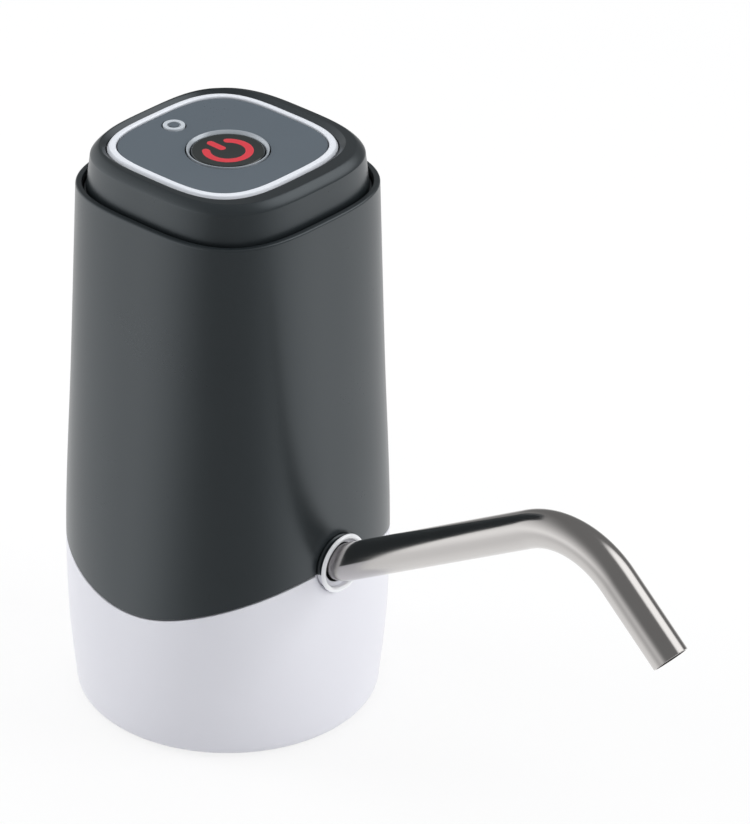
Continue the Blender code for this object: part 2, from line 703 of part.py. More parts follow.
def make_suction_fitting():
    """Barb for the suction hose below the ceiling, and the pump's inlet barb above it."""
    flange_top = NECK_DEPTH - SEAT_GAP
    flange_bottom = flange_top - FITTING_FLANGE_THICKNESS
    barb_top = FITTING_TOP + BARB_LENGTH
    upper = [(radius, FITTING_TOP - height) for radius, height in
             barb_profile(BARB_ROOT_RADIUS, BARB_RADIUS, BARB_LENGTH, 2)]
    suction_root = SUCTION_BARB_RADIUS - 2 * SEAT_GAP
    lower = [(radius, flange_bottom + height) for radius, height in
             barb_profile(suction_root, SUCTION_BARB_RADIUS, SUCTION_BARB_LENGTH, 2)]
    bottom = lower[-1][1]
    profile = upper[::-1]
    profile += [
        (FITTING_STUB_RADIUS, FITTING_TOP),
        (FITTING_STUB_RADIUS, flange_top),
        (FITTING_FLANGE_RADIUS, flange_top),
        (FITTING_FLANGE_RADIUS, flange_bottom),
    ]
    profile += lower
    profile += [
        (SUCTION_BORE_RADIUS, bottom),
        (SUCTION_BORE_RADIUS, flange_top),
        (BARB_BORE_RADIUS, flange_top + SUCTION_BORE_RADIUS - BARB_BORE_RADIUS),
        (BARB_BORE_RADIUS, barb_top),
    ]
    return turned("suction_fitting", profile, "natural_plastic", steps=16)


def make_fitting_nut():
    """Hexagonal nut that clamps the suction fitting to the ceiling."""
    bottom = CEILING_TOP + SEAT_GAP
    nut = rod("fitting_nut", NUT_RADIUS, 0, NUT_THICKNESS, "natural_plastic", 6, (0, 0, bottom))
    bore = rod("fitting_nut_bore", FITTING_STUB_RADIUS + SEAT_GAP, -CUT_OVERRUN,
               NUT_THICKNESS + CUT_OVERRUN, location=(0, 0, bottom))
    return cut(nut, bore)


def make_inlet_hose():
    """Straight silicone hose between the suction fitting and the pump's inlet."""
    inner = BARB_RADIUS + SEAT_GAP
    top = PUMP_SEAT_HEIGHT - SEAT_GAP
    bottom = FITTING_TOP + SEAT_GAP
    profile = [(HOSE_RADIUS, top), (HOSE_RADIUS, bottom), (inner, bottom), (inner, top)]
    return turned("inlet_hose", profile, "silicone", 16)


# Sleeve

def socket_seat():
    """Distance from the axis to the shallow recess that the socket's flange lies in."""
    return body_half_width(SPOUT_HEIGHT) - SOCKET_SEAT_DEPTH


def socket_hole(name):
    """Cutter for the round hole and the flange recess of the spout socket."""
    hole = SOCKET_RADIUS + SEAT_GAP / 2
    recess = SOCKET_FLANGE_RADIUS + SEAT_GAP / 2
    outside = body_half_width(SPOUT_HEIGHT) + SOCKET_FLANGE_PROUD + CUT_OVERRUN
    profile = [(0, outside), (recess, outside), (recess, socket_seat()), (hole, socket_seat()),
               (hole, NECK_BORE_RADIUS), (0, NECK_BORE_RADIUS)]
    return along_x(name, profile, None)


def port_height():
    """Height of the middle of the charging port."""
    return BOARD_BOTTOM - SEAT_GAP - PORT_HEIGHT / 2


def port_outline(width, height, low, high, name, look=None):
    """Flat-sided round-ended prism along X for the charging port, at the back of the body."""
    radius = height / 2
    points = []
    for side in (1, -1):
        for k in range(7):
            angle = math.pi * k / 6 - math.pi / 2
            across = side * (width / 2 - radius + radius * math.cos(angle))
            points.append((across, side * radius * math.sin(angle)))
    loops = [[Vector((along, across, up)) for across, up in points] for along in (low, high)]
    return loft(name, loops, look, (0, 0, port_height()), closed=False)


def make_upper_sleeve():
    """Dark sleeve from the wavy joint up to the rim."""
    def above_joint(share):
        return lambda angle: (1 - share) * (joint_height(angle) + SEAT_GAP) + share * (SLEEVE_TOP - SLEEVE_RIM_ROUND)
    outer_rows = 7
    inner_rows = 3
    loops = [body_loop(above_joint(row / outer_rows)) for row in range(outer_rows + 1)]
    loops.append(body_loop(SLEEVE_TOP, SLEEVE_RIM_ROUND))
    loops.append(body_loop(SLEEVE_TOP, SLEEVE_WALL - SLEEVE_RIM_ROUND / 2))
    loops += [body_loop(above_joint(1 - row / inner_rows), SLEEVE_WALL) for row in range(inner_rows + 1)]
    sleeve = loft("upper_sleeve", loops, "dark_plastic")
    cut(sleeve, socket_hole("sleeve_spout_hole"))
    back = -body_half_width(port_height())
    slot = port_outline(PORT_WIDTH + 2 * PORT_SLOT_GAP, PORT_HEIGHT + 2 * PORT_SLOT_GAP,
                        back - CUT_OVERRUN, back + SLEEVE_WALL + CUT_OVERRUN, "sleeve_port_slot")
    return cut(sleeve, slot)


# Cap and control panel

def make_top_cap():
    """Cap with a lip around the recess that holds the control panel."""
    skirt_inset = SLEEVE_WALL + SEAT_GAP
    skirt_bottom = SLEEVE_TOP - CAP_SKIRT_DEPTH
    shoulder = SLEEVE_TOP - CAP_SHOULDER_DEPTH
    floor_reach = RING_REACH + SEAT_GAP
    inner_corner = floor_reach + RECESS_SLOPE_WIDTH
    loops = [body_loop(skirt_bottom, skirt_inset), body_loop(shoulder, skirt_inset)]
    loops.append(section_loop(CAP_REACH, CAP_SQUARENESS, shoulder))
    for reach, height in round_corner(CAP_LIP_REACH, BODY_HEIGHT, CAP_EDGE_RADIUS, 3):
        loops.append(section_loop(reach, CAP_SQUARENESS, height))
    ring_level = BODY_HEIGHT - RING_FLANK_DEPTH
    loops.append(section_loop(inner_corner, PANEL_SQUARENESS, BODY_HEIGHT, PANEL_SETBACK))
    loops.append(section_loop(floor_reach, PANEL_SQUARENESS, ring_level, PANEL_SETBACK))
    loops.append(section_loop(floor_reach, PANEL_SQUARENESS, RECESS_FLOOR, PANEL_SETBACK))
    stem_hole = BUTTON_STEM_RADIUS + SEAT_GAP
    loops.append(circle_loop(stem_hole, RECESS_FLOOR))
    loops.append(circle_loop(stem_hole, CAP_UNDERSIDE))
    loops.append(section_loop(CAP_LIP_REACH - CAP_WALL, CAP_SQUARENESS, CAP_UNDERSIDE))
    loops.append(section_loop(CAP_REACH - CAP_WALL, CAP_SQUARENESS, shoulder))
    loops.append(body_loop(shoulder - CAP_WALL, skirt_inset + CAP_WALL))
    loops.append(body_loop(skirt_bottom, skirt_inset + CAP_WALL))
    cap = loft("top_cap", loops, "dark_plastic")
    pipe_hole = rod("cap_light_hole", LIGHT_PIPE_RADIUS + SEAT_GAP, CAP_UNDERSIDE - CUT_OVERRUN,
                    RECESS_FLOOR + CUT_OVERRUN, steps=20, location=(-LIGHT_SETBACK, 0, 0))
    return cut(cap, pipe_hole)


def make_trim_ring():
    """Bright ring with a sloping outer flank around the control panel."""
    top = BODY_HEIGHT - RING_FLANK_DEPTH / 5
    flank_bottom = BODY_HEIGHT - RING_FLANK_DEPTH
    inner = RING_REACH - RING_WIDTH
    flank = RING_WIDTH / 4
    outline = [
        (RING_REACH, PANEL_BOTTOM),
        (RING_REACH, flank_bottom),
        (RING_REACH - flank, top - flank / 4),
        (RING_REACH - 2 * flank, top),
        (inner + flank / 2, top),
        (inner, top - flank / 2),
        (inner, PANEL_BOTTOM),
    ]
    loops = [section_loop(reach, PANEL_SQUARENESS, height, PANEL_SETBACK) for reach, height in outline]
    return loft("trim_ring", loops, "silver")


def make_control_panel():
    """Dished panel with a round hole for the button and a small one for the light."""
    reach = RING_REACH - RING_WIDTH - SEAT_GAP
    hole = BEZEL_RADIUS + SEAT_GAP
    middle_reach = (reach + hole) / 2
    loops = [
        section_loop(reach, PANEL_SQUARENESS, PANEL_BOTTOM, PANEL_SETBACK),
        section_loop(reach, PANEL_SQUARENESS, PANEL_EDGE_TOP, PANEL_SETBACK),
        section_loop(middle_reach, PANEL_SQUARENESS, PANEL_CENTRE_TOP + PANEL_DISH / 4, PANEL_SETBACK / 2),
        circle_loop(hole, PANEL_CENTRE_TOP),
        circle_loop(hole, PANEL_BOTTOM),
    ]
    panel = loft("control_panel", loops, "panel_grey")
    light_hole = rod("panel_light_hole", LIGHT_RADIUS + SEAT_GAP, PANEL_BOTTOM - CUT_OVERRUN,
                     BODY_HEIGHT + CUT_OVERRUN, steps=24, location=(-LIGHT_SETBACK, 0, 0))
    return cut(panel, light_hole)


def make_button_bezel():
    """Thin bright ring that the button sits in, sloping down to it."""
    inner = BUTTON_RADIUS + SEAT_GAP
    top = PANEL_CENTRE_TOP + SEAT_GAP
    profile = [
        (BEZEL_RADIUS, top),
        (BEZEL_RADIUS, PANEL_BOTTOM),
        (inner, PANEL_BOTTOM),
        (inner, top - BEZEL_WIDTH),
        (BEZEL_RADIUS - BEZEL_WIDTH / 4, top),
    ]
    return turned("button_bezel", profile, "silver", steps=32)


def button_bottom():
    """Height of the underside of the button, with room for its travel."""
    return RECESS_FLOOR + BUTTON_TRAVEL + SEAT_GAP / 2


def make_power_button():
    """Dished push button with a stem that reaches down to the switch."""
    low = button_bottom()
    top = low + BUTTON_THICKNESS
    stem_bottom = BOARD_TOP + SEAT_GAP + SWITCH_HEIGHT + PLUNGER_REACH + SEAT_GAP
    edge = BUTTON_THICKNESS / 4
    dish_shares = (0, 0.4, 0.75)
    profile = [(BUTTON_RADIUS * share, top - BUTTON_DISH * (1 - share * share)) for share in dish_shares]
    profile += [
        (BUTTON_RADIUS - edge, top),
        (BUTTON_RADIUS, top - edge),
        (BUTTON_RADIUS, low),
        (BUTTON_STEM_RADIUS, low),
        (BUTTON_STEM_RADIUS, stem_bottom),
        (0, stem_bottom),
    ]
    return turned("power_button", profile, "black_gloss", steps=32)


def make_status_light():
    """Lens flush with the panel, with a light pipe down to the indicator on the board."""
    top = PANEL_EDGE_TOP
    pipe_bottom = BOARD_TOP + INDICATOR_HEIGHT + 2 * SEAT_GAP
    core_share = 0.6
    core_hole = LIGHT_RADIUS * core_share
    profile = [
        (0, top - LIGHT_RADIUS / 4),
        (core_hole, top - LIGHT_RADIUS / 4),
        (core_hole, top),
        (LIGHT_RADIUS - SEAT_GAP, top),
        (LIGHT_RADIUS, top - SEAT_GAP),
        (LIGHT_RADIUS, PANEL_BOTTOM),
        (LIGHT_PIPE_RADIUS, PANEL_BOTTOM),
        (LIGHT_PIPE_RADIUS, pipe_bottom),
        (0, pipe_bottom),
    ]
    turned("status_light", profile, "light_white", steps=20, location=(-LIGHT_SETBACK, 0, 0))
    core_bottom = top - LIGHT_RADIUS / 4 + SEAT_GAP
    rod("status_light_core", core_hole - SEAT_GAP, core_bottom, top, "panel_grey", 20, (-LIGHT_SETBACK, 0, 0))


# Control board

def make_control_board():
    """Board on top of the frame rails, under the cap."""
    inset = SLEEVE_WALL + 2 * SEAT_GAP + CAP_WALL + BOARD_MARGIN
    loops = [body_loop(height, inset) for height in (BOARD_BOTTOM, BOARD_TOP)]
    return loft("control_board", loops, "board_green", closed=False)


def make_push_switch():
    """Square push switch in the middle of the board, and its plunger."""
    base = BOARD_TOP + SEAT_GAP
    half = SWITCH_WIDTH / 2
    body = block("push_switch", (-half, -half, base), (half, half, base + SWITCH_HEIGHT), "component_black")
    bore_bottom = base + SWITCH_HEIGHT / 3
    cut(body, rod("push_switch_bore", PLUNGER_RADIUS + SEAT_GAP, bore_bottom, base + SWITCH_HEIGHT + CUT_OVERRUN))
    plunger_bottom = bore_bottom + BUTTON_TRAVEL + SEAT_GAP
    plunger_top = base + SWITCH_HEIGHT + PLUNGER_REACH
    rod("switch_plunger", PLUNGER_RADIUS, 0, plunger_top - plunger_bottom, "white_plastic", 20,
        (0, 0, plunger_bottom))


def make_board_components():
    """Driver chip, coil, capacitor and indicator on top of the board."""
    base = BOARD_TOP + SEAT_GAP
    row_x = 3 / 2 * SWITCH_WIDTH
    row_y = 2 * SWITCH_WIDTH
    shoulder_share = 0.85
    side_share = 0.94
    block("driver_chip", (-CHIP_LENGTH / 2, -CHIP_WIDTH / 2, 0), (CHIP_LENGTH / 2, CHIP_WIDTH / 2, CHIP_HEIGHT),
          "component_black", (row_x, row_y, base))
    block("charge_coil", (-COIL_WIDTH / 2, -COIL_WIDTH / 2, 0), (COIL_WIDTH / 2, COIL_WIDTH / 2, COIL_HEIGHT),
          "magnet_grey", (row_x, -row_y, base), rounding=COIL_WIDTH / 5)
    turned("capacitor", [
        (0, CAPACITOR_HEIGHT),
        (CAPACITOR_RADIUS * shoulder_share, CAPACITOR_HEIGHT),
        (CAPACITOR_RADIUS, CAPACITOR_HEIGHT * side_share),
        (CAPACITOR_RADIUS, 0),
        (0, 0),
    ], "nickel", 16, (-row_x, row_y, base))
    block("indicator_led", (-INDICATOR_LENGTH / 2, -INDICATOR_WIDTH / 2, 0),
          (INDICATOR_LENGTH / 2, INDICATOR_WIDTH / 2, INDICATOR_HEIGHT), "light_white",
          (-LIGHT_SETBACK, 0, BOARD_TOP + SEAT_GAP))


def make_charging_port():
    """Charging socket under the board, with its mouth in the slot at the back of the sleeve."""
    mouth = -body_half_width(port_height()) + PORT_INSET
    end = mouth + PORT_DEPTH
    shell = port_outline(PORT_WIDTH, PORT_HEIGHT, mouth, end, "charging_port", "nickel")
    inner_width = PORT_WIDTH - 2 * PORT_WALL
    inner_height = PORT_HEIGHT - 2 * PORT_WALL
    back_wall = 3 * PORT_WALL
    cut(shell, port_outline(inner_width, inner_height, mouth - CUT_OVERRUN, end - back_wall, "port_cavity"))
    half = PORT_TONGUE_THICKNESS / 2
    reach = PORT_WIDTH / 2 - PORT_HEIGHT / 2
    block("port_tongue", (mouth + PORT_HEIGHT / 4, -reach, -half), (end - back_wall - SEAT_GAP, reach, half),
          "component_black", (0, 0, port_height()))


# Battery

def minus_lead_offset():
    """Distance from the battery's axis to the lead that climbs beside it."""
    return BATTERY_RADIUS + HOLDER_WALL + WIRE_RADIUS + SEAT_GAP


def make_battery():
    """Cell with a crimp groove and a raised tip, a tab on each end, and its open holder."""
    groove = BATTERY_LENGTH - 3 * BATTERY_GROOVE
    edge = BATTERY_GROOVE
    profile = [
        (0, BATTERY_LENGTH),
        (BATTERY_TIP_RADIUS, BATTERY_LENGTH),
        (BATTERY_TIP_RADIUS, BATTERY_LENGTH - BATTERY_TIP_HEIGHT),
        (BATTERY_RADIUS - edge, BATTERY_LENGTH - BATTERY_TIP_HEIGHT),
        (BATTERY_RADIUS, BATTERY_LENGTH - BATTERY_TIP_HEIGHT - edge),
        (BATTERY_RADIUS, groove - edge),
        (BATTERY_RADIUS - BATTERY_GROOVE, groove - 2 * edge),
        (BATTERY_RADIUS, groove - 3 * edge),
        (BATTERY_RADIUS, edge),
        (BATTERY_RADIUS - edge, 0),
        (0, 0),
    ]
    turned("battery_cell", profile, "battery_blue", 24, (BATTERY_X, 0, BATTERY_BOTTOM))
    half_length = TAB_LENGTH / 2
    half_width = TAB_WIDTH / 2
    for name, height, reach in (
        ("battery_tab_bottom", BATTERY_BOTTOM - SEAT_GAP - TAB_THICKNESS, minus_lead_offset() + WIRE_RADIUS),
        ("battery_tab_top", BATTERY_TOP + SEAT_GAP, half_length),
    ):
        block(name, (-half_width, -half_length, 0), (half_width, reach, TAB_THICKNESS), "nickel",
              (BATTERY_X, 0, height))
    inner = BATTERY_RADIUS + SEAT_GAP
    outer = inner + HOLDER_WALL
    top = BATTERY_TOP - BATTERY_TIP_HEIGHT - HOLDER_FLOOR
    start = math.pi - HOLDER_ANGLE / 2
    holder = arc_prism("battery_holder", inner, outer, start, start + HOLDER_ANGLE, 0, top - HOLDER_BOTTOM,
                       "natural_plastic", 10, (BATTERY_X, 0, HOLDER_BOTTOM))
    add(holder, rod("holder_floor", outer, 0, HOLDER_FLOOR, steps=28, location=(BATTERY_X, 0, HOLDER_BOTTOM)))
    cut(holder, rod("holder_nut_notch", NUT_RADIUS + 2 * SEAT_GAP, FRAME_BOTTOM, BATTERY_BOTTOM))


# Pump head

def square_loop(width, height):
    """Loop of the pump stack's outline, around the pump's own axis."""
    reach = width / 2 * 2 ** (0.5 - 1 / PUMP_SQUARENESS)
    return section_loop(reach, PUMP_SQUARENESS, height)[::2]


def square_plate(name, thickness, look, height):
    """Plate of the pump stack, seated at a height."""
    loops = [square_loop(PUMP_WIDTH, 0), square_loop(PUMP_WIDTH, thickness)]
    return loft(name, loops, look, (PUMP_X, 0, height), closed=False)


def cup_places():
    """Centres of the diaphragm's cups around the pump axis."""
    places = []
    for k in range(CUPS):
        angle = 2 * math.pi * k / CUPS + math.pi / CUPS
        places.append((CUP_RING_RADIUS * math.cos(angle), CUP_RING_RADIUS * math.sin(angle)))
    return places


def make_pump_cover():
    """Cover with an inlet and an outlet barb below, and a chamber for each above."""
    cover = square_plate("pump_cover", COVER_HEIGHT, "component_black", PUMP_SEAT_HEIGHT)
    chamber_depth = COVER_HEIGHT / 2
    chamber_floor = COVER_HEIGHT - chamber_depth
    for side, name in ((-1, "inlet"), (1, "outlet")):
        spot = (PUMP_X + side * PORT_OFFSET, 0, PUMP_SEAT_HEIGHT)
        profile = [(0, SEAT_GAP)] + barb_profile(BARB_ROOT_RADIUS, BARB_RADIUS, BARB_LENGTH, 2)
        profile[1] = (BARB_ROOT_RADIUS, SEAT_GAP)
        profile.append((0, -BARB_LENGTH))
        add(cover, turned("cover_" + name + "_barb", profile, None, 14, spot))
        cut(cover, rod("cover_" + name + "_bore", BARB_BORE_RADIUS, -BARB_LENGTH - CUT_OVERRUN,
                       chamber_floor + CUT_OVERRUN, steps=10, location=spot))
    centre = (PUMP_X, 0, PUMP_SEAT_HEIGHT)
    outer = PUMP_WIDTH / 2 - SWING_HOUSING_WALL
    middle = PORT_OFFSET - BARB_BORE_RADIUS - HOSE_WALL
    gate = math.radians(40)
    inlet_chamber = arc_prism("cover_inlet_chamber", middle + HOSE_WALL, outer, gate, 2 * math.pi - gate,
                              chamber_floor, COVER_HEIGHT + CUT_OVERRUN, steps=16, location=centre)
    cut(cover, inlet_chamber)
    cut(cover, rod("cover_outlet_chamber", middle, chamber_floor, COVER_HEIGHT + CUT_OVERRUN, None, 16, centre))
    return cut(cover, block("cover_outlet_channel", (0, -BARB_BORE_RADIUS, chamber_floor),
                            (PORT_OFFSET + BARB_BORE_RADIUS, BARB_BORE_RADIUS, COVER_HEIGHT + CUT_OVERRUN),
                            None, centre))


def make_valve_plate():
    """Plate with an inlet hole under each cup and outlet holes around its middle."""
    plate = square_plate("valve_plate", VALVE_PLATE_THICKNESS, "natural_plastic", VALVE_PLATE_BOTTOM)
    low = VALVE_PLATE_BOTTOM - CUT_OVERRUN
    high = VALVE_PLATE_BOTTOM + VALVE_PLATE_THICKNESS + CUT_OVERRUN
    inlet_share = 1.2
    outlet_share = 0.36
    for k, (x, y) in enumerate(cup_places()):
        for name, share in (("inlet", inlet_share), ("outlet", outlet_share)):
            spot = (PUMP_X + share * x, share * y, 0)
            cut(plate, rod(f"plate_{name}_hole_{k}", PIN_RADIUS, low, high, None, 8, spot))
    return cut(plate, rod("plate_valve_hole", PIN_RADIUS, low, high, None, 12, (PUMP_X, 0, 0)))


def make_outlet_valve():
    """Umbrella valve under the middle of the valve plate."""
    disc = PORT_OFFSET - BARB_BORE_RADIUS - HOSE_WALL - 2 * SEAT_GAP
    stem = PIN_RADIUS - SEAT_GAP
    top = VALVE_PLATE_THICKNESS - SEAT_GAP
    profile = [
        (0, top),
        (stem, top),
        (stem, -SEAT_GAP),
        (disc, -SEAT_GAP),
        (disc, -3 * SEAT_GAP),
        (stem, -5 * SEAT_GAP),
        (0, -5 * SEAT_GAP),
    ]
    return turned("outlet_valve", profile, "silicone", 16, (PUMP_X, 0, VALVE_PLATE_BOTTOM))


def make_diaphragm():
    """Rubber sheet with three hollow cups that the wobble plate pumps."""
    sheet = square_plate("diaphragm", SHEET_THICKNESS, "rubber", SHEET_BOTTOM)
    rise = SHEET_THICKNESS + CUP_HEIGHT
    for k, (x, y) in enumerate(cup_places()):
        spot = (PUMP_X + x, y, SHEET_BOTTOM)
        neck = CUP_RADIUS - CUP_WALL
        outer = [
            (0, rise),
            (CUP_STEM_RADIUS, rise),
            (neck, rise - CUP_WALL),
            (CUP_RADIUS, SHEET_THICKNESS / 2),
            (0, SHEET_THICKNESS / 2),
        ]
        add(sheet, turned(f"cup_skin_{k}", outer, None, 14, spot))
        hollow = [
            (0, rise - 2 * CUP_WALL),
            (neck - CUP_WALL, rise - 2 * CUP_WALL),
            (CUP_RADIUS - CUP_WALL, -CUT_OVERRUN),
            (0, -CUT_OVERRUN),
        ]
        cut(sheet, turned(f"cup_hollow_{k}", hollow, None, 14, spot))
    return sheet


def make_swing_housing():
    """Housing that carries the motor and gives the wobble plate room, with a window in each side."""
    inner = PUMP_WIDTH / 2 - SWING_HOUSING_WALL
    housing = square_plate("swing_housing", SWING_HOUSING_HEIGHT, "component_black", SWING_BOTTOM)
    centre = (PUMP_X, 0, SWING_BOTTOM)
    cut(housing, rod("swing_bore", inner, -CUT_OVERRUN, SWING_HOUSING_HEIGHT - SWING_WEB, steps=28, location=centre))
    cut(housing, rod("swing_boss_hole", MOTOR_BOSS_RADIUS + SEAT_GAP, 0, SWING_HOUSING_HEIGHT + CUT_OVERRUN,
                     None, 20, centre))
    half = inner / 2
    low = SWING_HOUSING_HEIGHT / 3
    high = SWING_HOUSING_HEIGHT - 2 * SWING_WEB
    for k in range(2):
        window = block(f"swing_window_{k}", (-half, -PUMP_WIDTH, low), (half, PUMP_WIDTH, high), None, centre,
                       (0, 0, math.pi / 2 * k))
        cut(housing, window)
    return housing


def make_wobble_plate():
    """Three-armed plate that swings on the tilted pin and works the cups."""
    spot = (PUMP_X, 0, WOBBLE_PIVOT_HEIGHT)
    tilt = (0, WOBBLE_TILT, 0)
    plate = rod("wobble_plate", 2 * WOBBLE_HUB_RADIUS, -WOBBLE_THICKNESS, 0, "natural_plastic", 24, spot, tilt)
    for k, (x, y) in enumerate(cup_places()):
        angle = math.atan2(y, x)
        arm = block(f"wobble_arm_{k}", (0, -WOBBLE_ARM_WIDTH / 2, -WOBBLE_THICKNESS),
                    (WOBBLE_ARM_REACH, WOBBLE_ARM_WIDTH / 2, 0), None, spot)
        arm.rotation_euler = (Matrix.Rotation(WOBBLE_TILT, 3, "Y") @ Matrix.Rotation(angle, 3, "Z")).to_euler()
        add(plate, arm)
    add(plate, rod("wobble_hub", WOBBLE_HUB_RADIUS, -WOBBLE_THICKNESS / 2, WOBBLE_HUB_HEIGHT, None, 20, spot, tilt))
    return cut(plate, rod("wobble_pin_hole", PIN_RADIUS + RUNNING_GAP, 0, WOBBLE_HUB_HEIGHT + CUT_OVERRUN,
                          None, 16, spot, tilt))


def make_needle_pin():
    """Tilted steel pin that joins the eccentric to the wobble plate."""
    spot = (PUMP_X, 0, WOBBLE_PIVOT_HEIGHT)
    return rod("needle_pin", PIN_RADIUS, SEAT_GAP, PIN_END - SEAT_GAP, "steel", 16, spot, (0, WOBBLE_TILT, 0))


def make_eccentric():
    """Wheel on the motor shaft with the tilted hole that makes the plate wobble."""
    wheel = rod("eccentric", ECCENTRIC_RADIUS, 0, ECCENTRIC_THICKNESS, "white_plastic", 24,
                (PUMP_X, 0, ECCENTRIC_BOTTOM))
    cut(wheel, rod("eccentric_pin_hole", PIN_RADIUS + RUNNING_GAP, 0, PIN_END, None, 16,
                   (PUMP_X, 0, WOBBLE_PIVOT_HEIGHT), (0, WOBBLE_TILT, 0)))
    return cut(wheel, rod("eccentric_shaft_hole", SHAFT_RADIUS + RUNNING_GAP, ECCENTRIC_THICKNESS - SHAFT_SEAT_DEPTH,
                          ECCENTRIC_THICKNESS + CUT_OVERRUN, None, 16, (PUMP_X, 0, ECCENTRIC_BOTTOM)))


# Motor

def make_motor_can():
    """Steel can with a boss around the shaft, open at the top."""
    shaft_hole = SHAFT_RADIUS + RUNNING_GAP
    edge = MOTOR_WALL / 2
    profile = [
        (MOTOR_RADIUS, MOTOR_LENGTH - END_BELL_THICKNESS),
        (MOTOR_RADIUS, edge),
        (MOTOR_RADIUS - edge, 0),
        (MOTOR_BOSS_RADIUS, 0),
        (MOTOR_BOSS_RADIUS, -MOTOR_BOSS_HEIGHT),
        (shaft_hole, -MOTOR_BOSS_HEIGHT),
        (shaft_hole, MOTOR_WALL),
        (MOTOR_RADIUS - MOTOR_WALL, MOTOR_WALL),
        (MOTOR_RADIUS - MOTOR_WALL, MOTOR_LENGTH - END_BELL_THICKNESS),
    ]
    return turned("motor_can", profile, "nickel", 24, (PUMP_X, 0, MOTOR_BOTTOM))


def make_motor_inside():
    """Magnets, shaft, armature and commutator."""
    spot = (PUMP_X, 0, MOTOR_BOTTOM)
    magnet_outer = MOTOR_RADIUS - MOTOR_WALL - SEAT_GAP
    magnet_inner = magnet_outer - MAGNET_THICKNESS
    low = MOTOR_WALL + SEAT_GAP
    for name, middle in (("motor_magnet_front", 0), ("motor_magnet_back", math.pi)):
        arc_prism(name, magnet_inner, magnet_outer, middle - MAGNET_ANGLE / 2, middle + MAGNET_ANGLE / 2,
                  low, low + MAGNET_LENGTH, "magnet_grey", 12, spot)
    shaft_bottom = ECCENTRIC_TOP - SHAFT_SEAT_DEPTH + SEAT_GAP - MOTOR_BOTTOM
    shaft_top = MOTOR_LENGTH - END_BELL_THICKNESS / 2 - SEAT_GAP
    rod("motor_shaft", SHAFT_RADIUS, shaft_bottom, shaft_top, "steel", 16, spot)
    core_radius = magnet_inner - AIR_GAP
    core_low = low + (MAGNET_LENGTH - CORE_LENGTH) / 2
    shaft_hole = SHAFT_RADIUS + RUNNING_GAP
    core = turned("motor_armature", [
        (core_radius, core_low + CORE_LENGTH), (core_radius, core_low),
        (shaft_hole, core_low), (shaft_hole, core_low + CORE_LENGTH),
    ], "copper", 30, spot)
    for k in range(CORE_POLES):
        turn = 2 * math.pi * k / CORE_POLES
        slot = block(f"armature_slot_{k}", (core_radius / 2, -AIR_GAP, core_low - CUT_OVERRUN),
                     (core_radius + CUT_OVERRUN, AIR_GAP, core_low + CORE_LENGTH + CUT_OVERRUN), None, spot,
                     (0, 0, turn))
        cut(core, slot)
    commutator_low = core_low + CORE_LENGTH + SEAT_GAP
    turned("motor_commutator", [
        (COMMUTATOR_RADIUS, commutator_low + COMMUTATOR_LENGTH), (COMMUTATOR_RADIUS, commutator_low),
        (shaft_hole, commutator_low), (shaft_hole, commutator_low + COMMUTATOR_LENGTH),
    ], "copper", 18, spot)


def make_motor_end():
    """Plastic end bell with a bearing pocket, and the two terminals on top of it."""
    low = MOTOR_LENGTH - END_BELL_THICKNESS + SEAT_GAP
    spot = (PUMP_X, 0, MOTOR_BOTTOM)
    pocket = SHAFT_RADIUS + RUNNING_GAP
    turned("motor_end_bell", [
        (0, MOTOR_LENGTH),
        (MOTOR_RADIUS - MOTOR_WALL / 2, MOTOR_LENGTH),
        (MOTOR_RADIUS, MOTOR_LENGTH - MOTOR_WALL / 2),
        (MOTOR_RADIUS, low),
        (pocket, low),
        (pocket, MOTOR_LENGTH - END_BELL_THICKNESS / 2),
        (0, MOTOR_LENGTH - END_BELL_THICKNESS / 2),
    ], "component_black", 24, spot)
    for name, side in (("motor_terminal_plus", 1), ("motor_terminal_minus", -1)):
        block(name, (-TERMINAL_WIDTH / 2, -TERMINAL_THICKNESS / 2, 0),
              (TERMINAL_WIDTH / 2, TERMINAL_THICKNESS / 2, TERMINAL_HEIGHT), "nickel",
              (PUMP_X, side * TERMINAL_OFFSET, MOTOR_TOP + SEAT_GAP))


# Inner frame

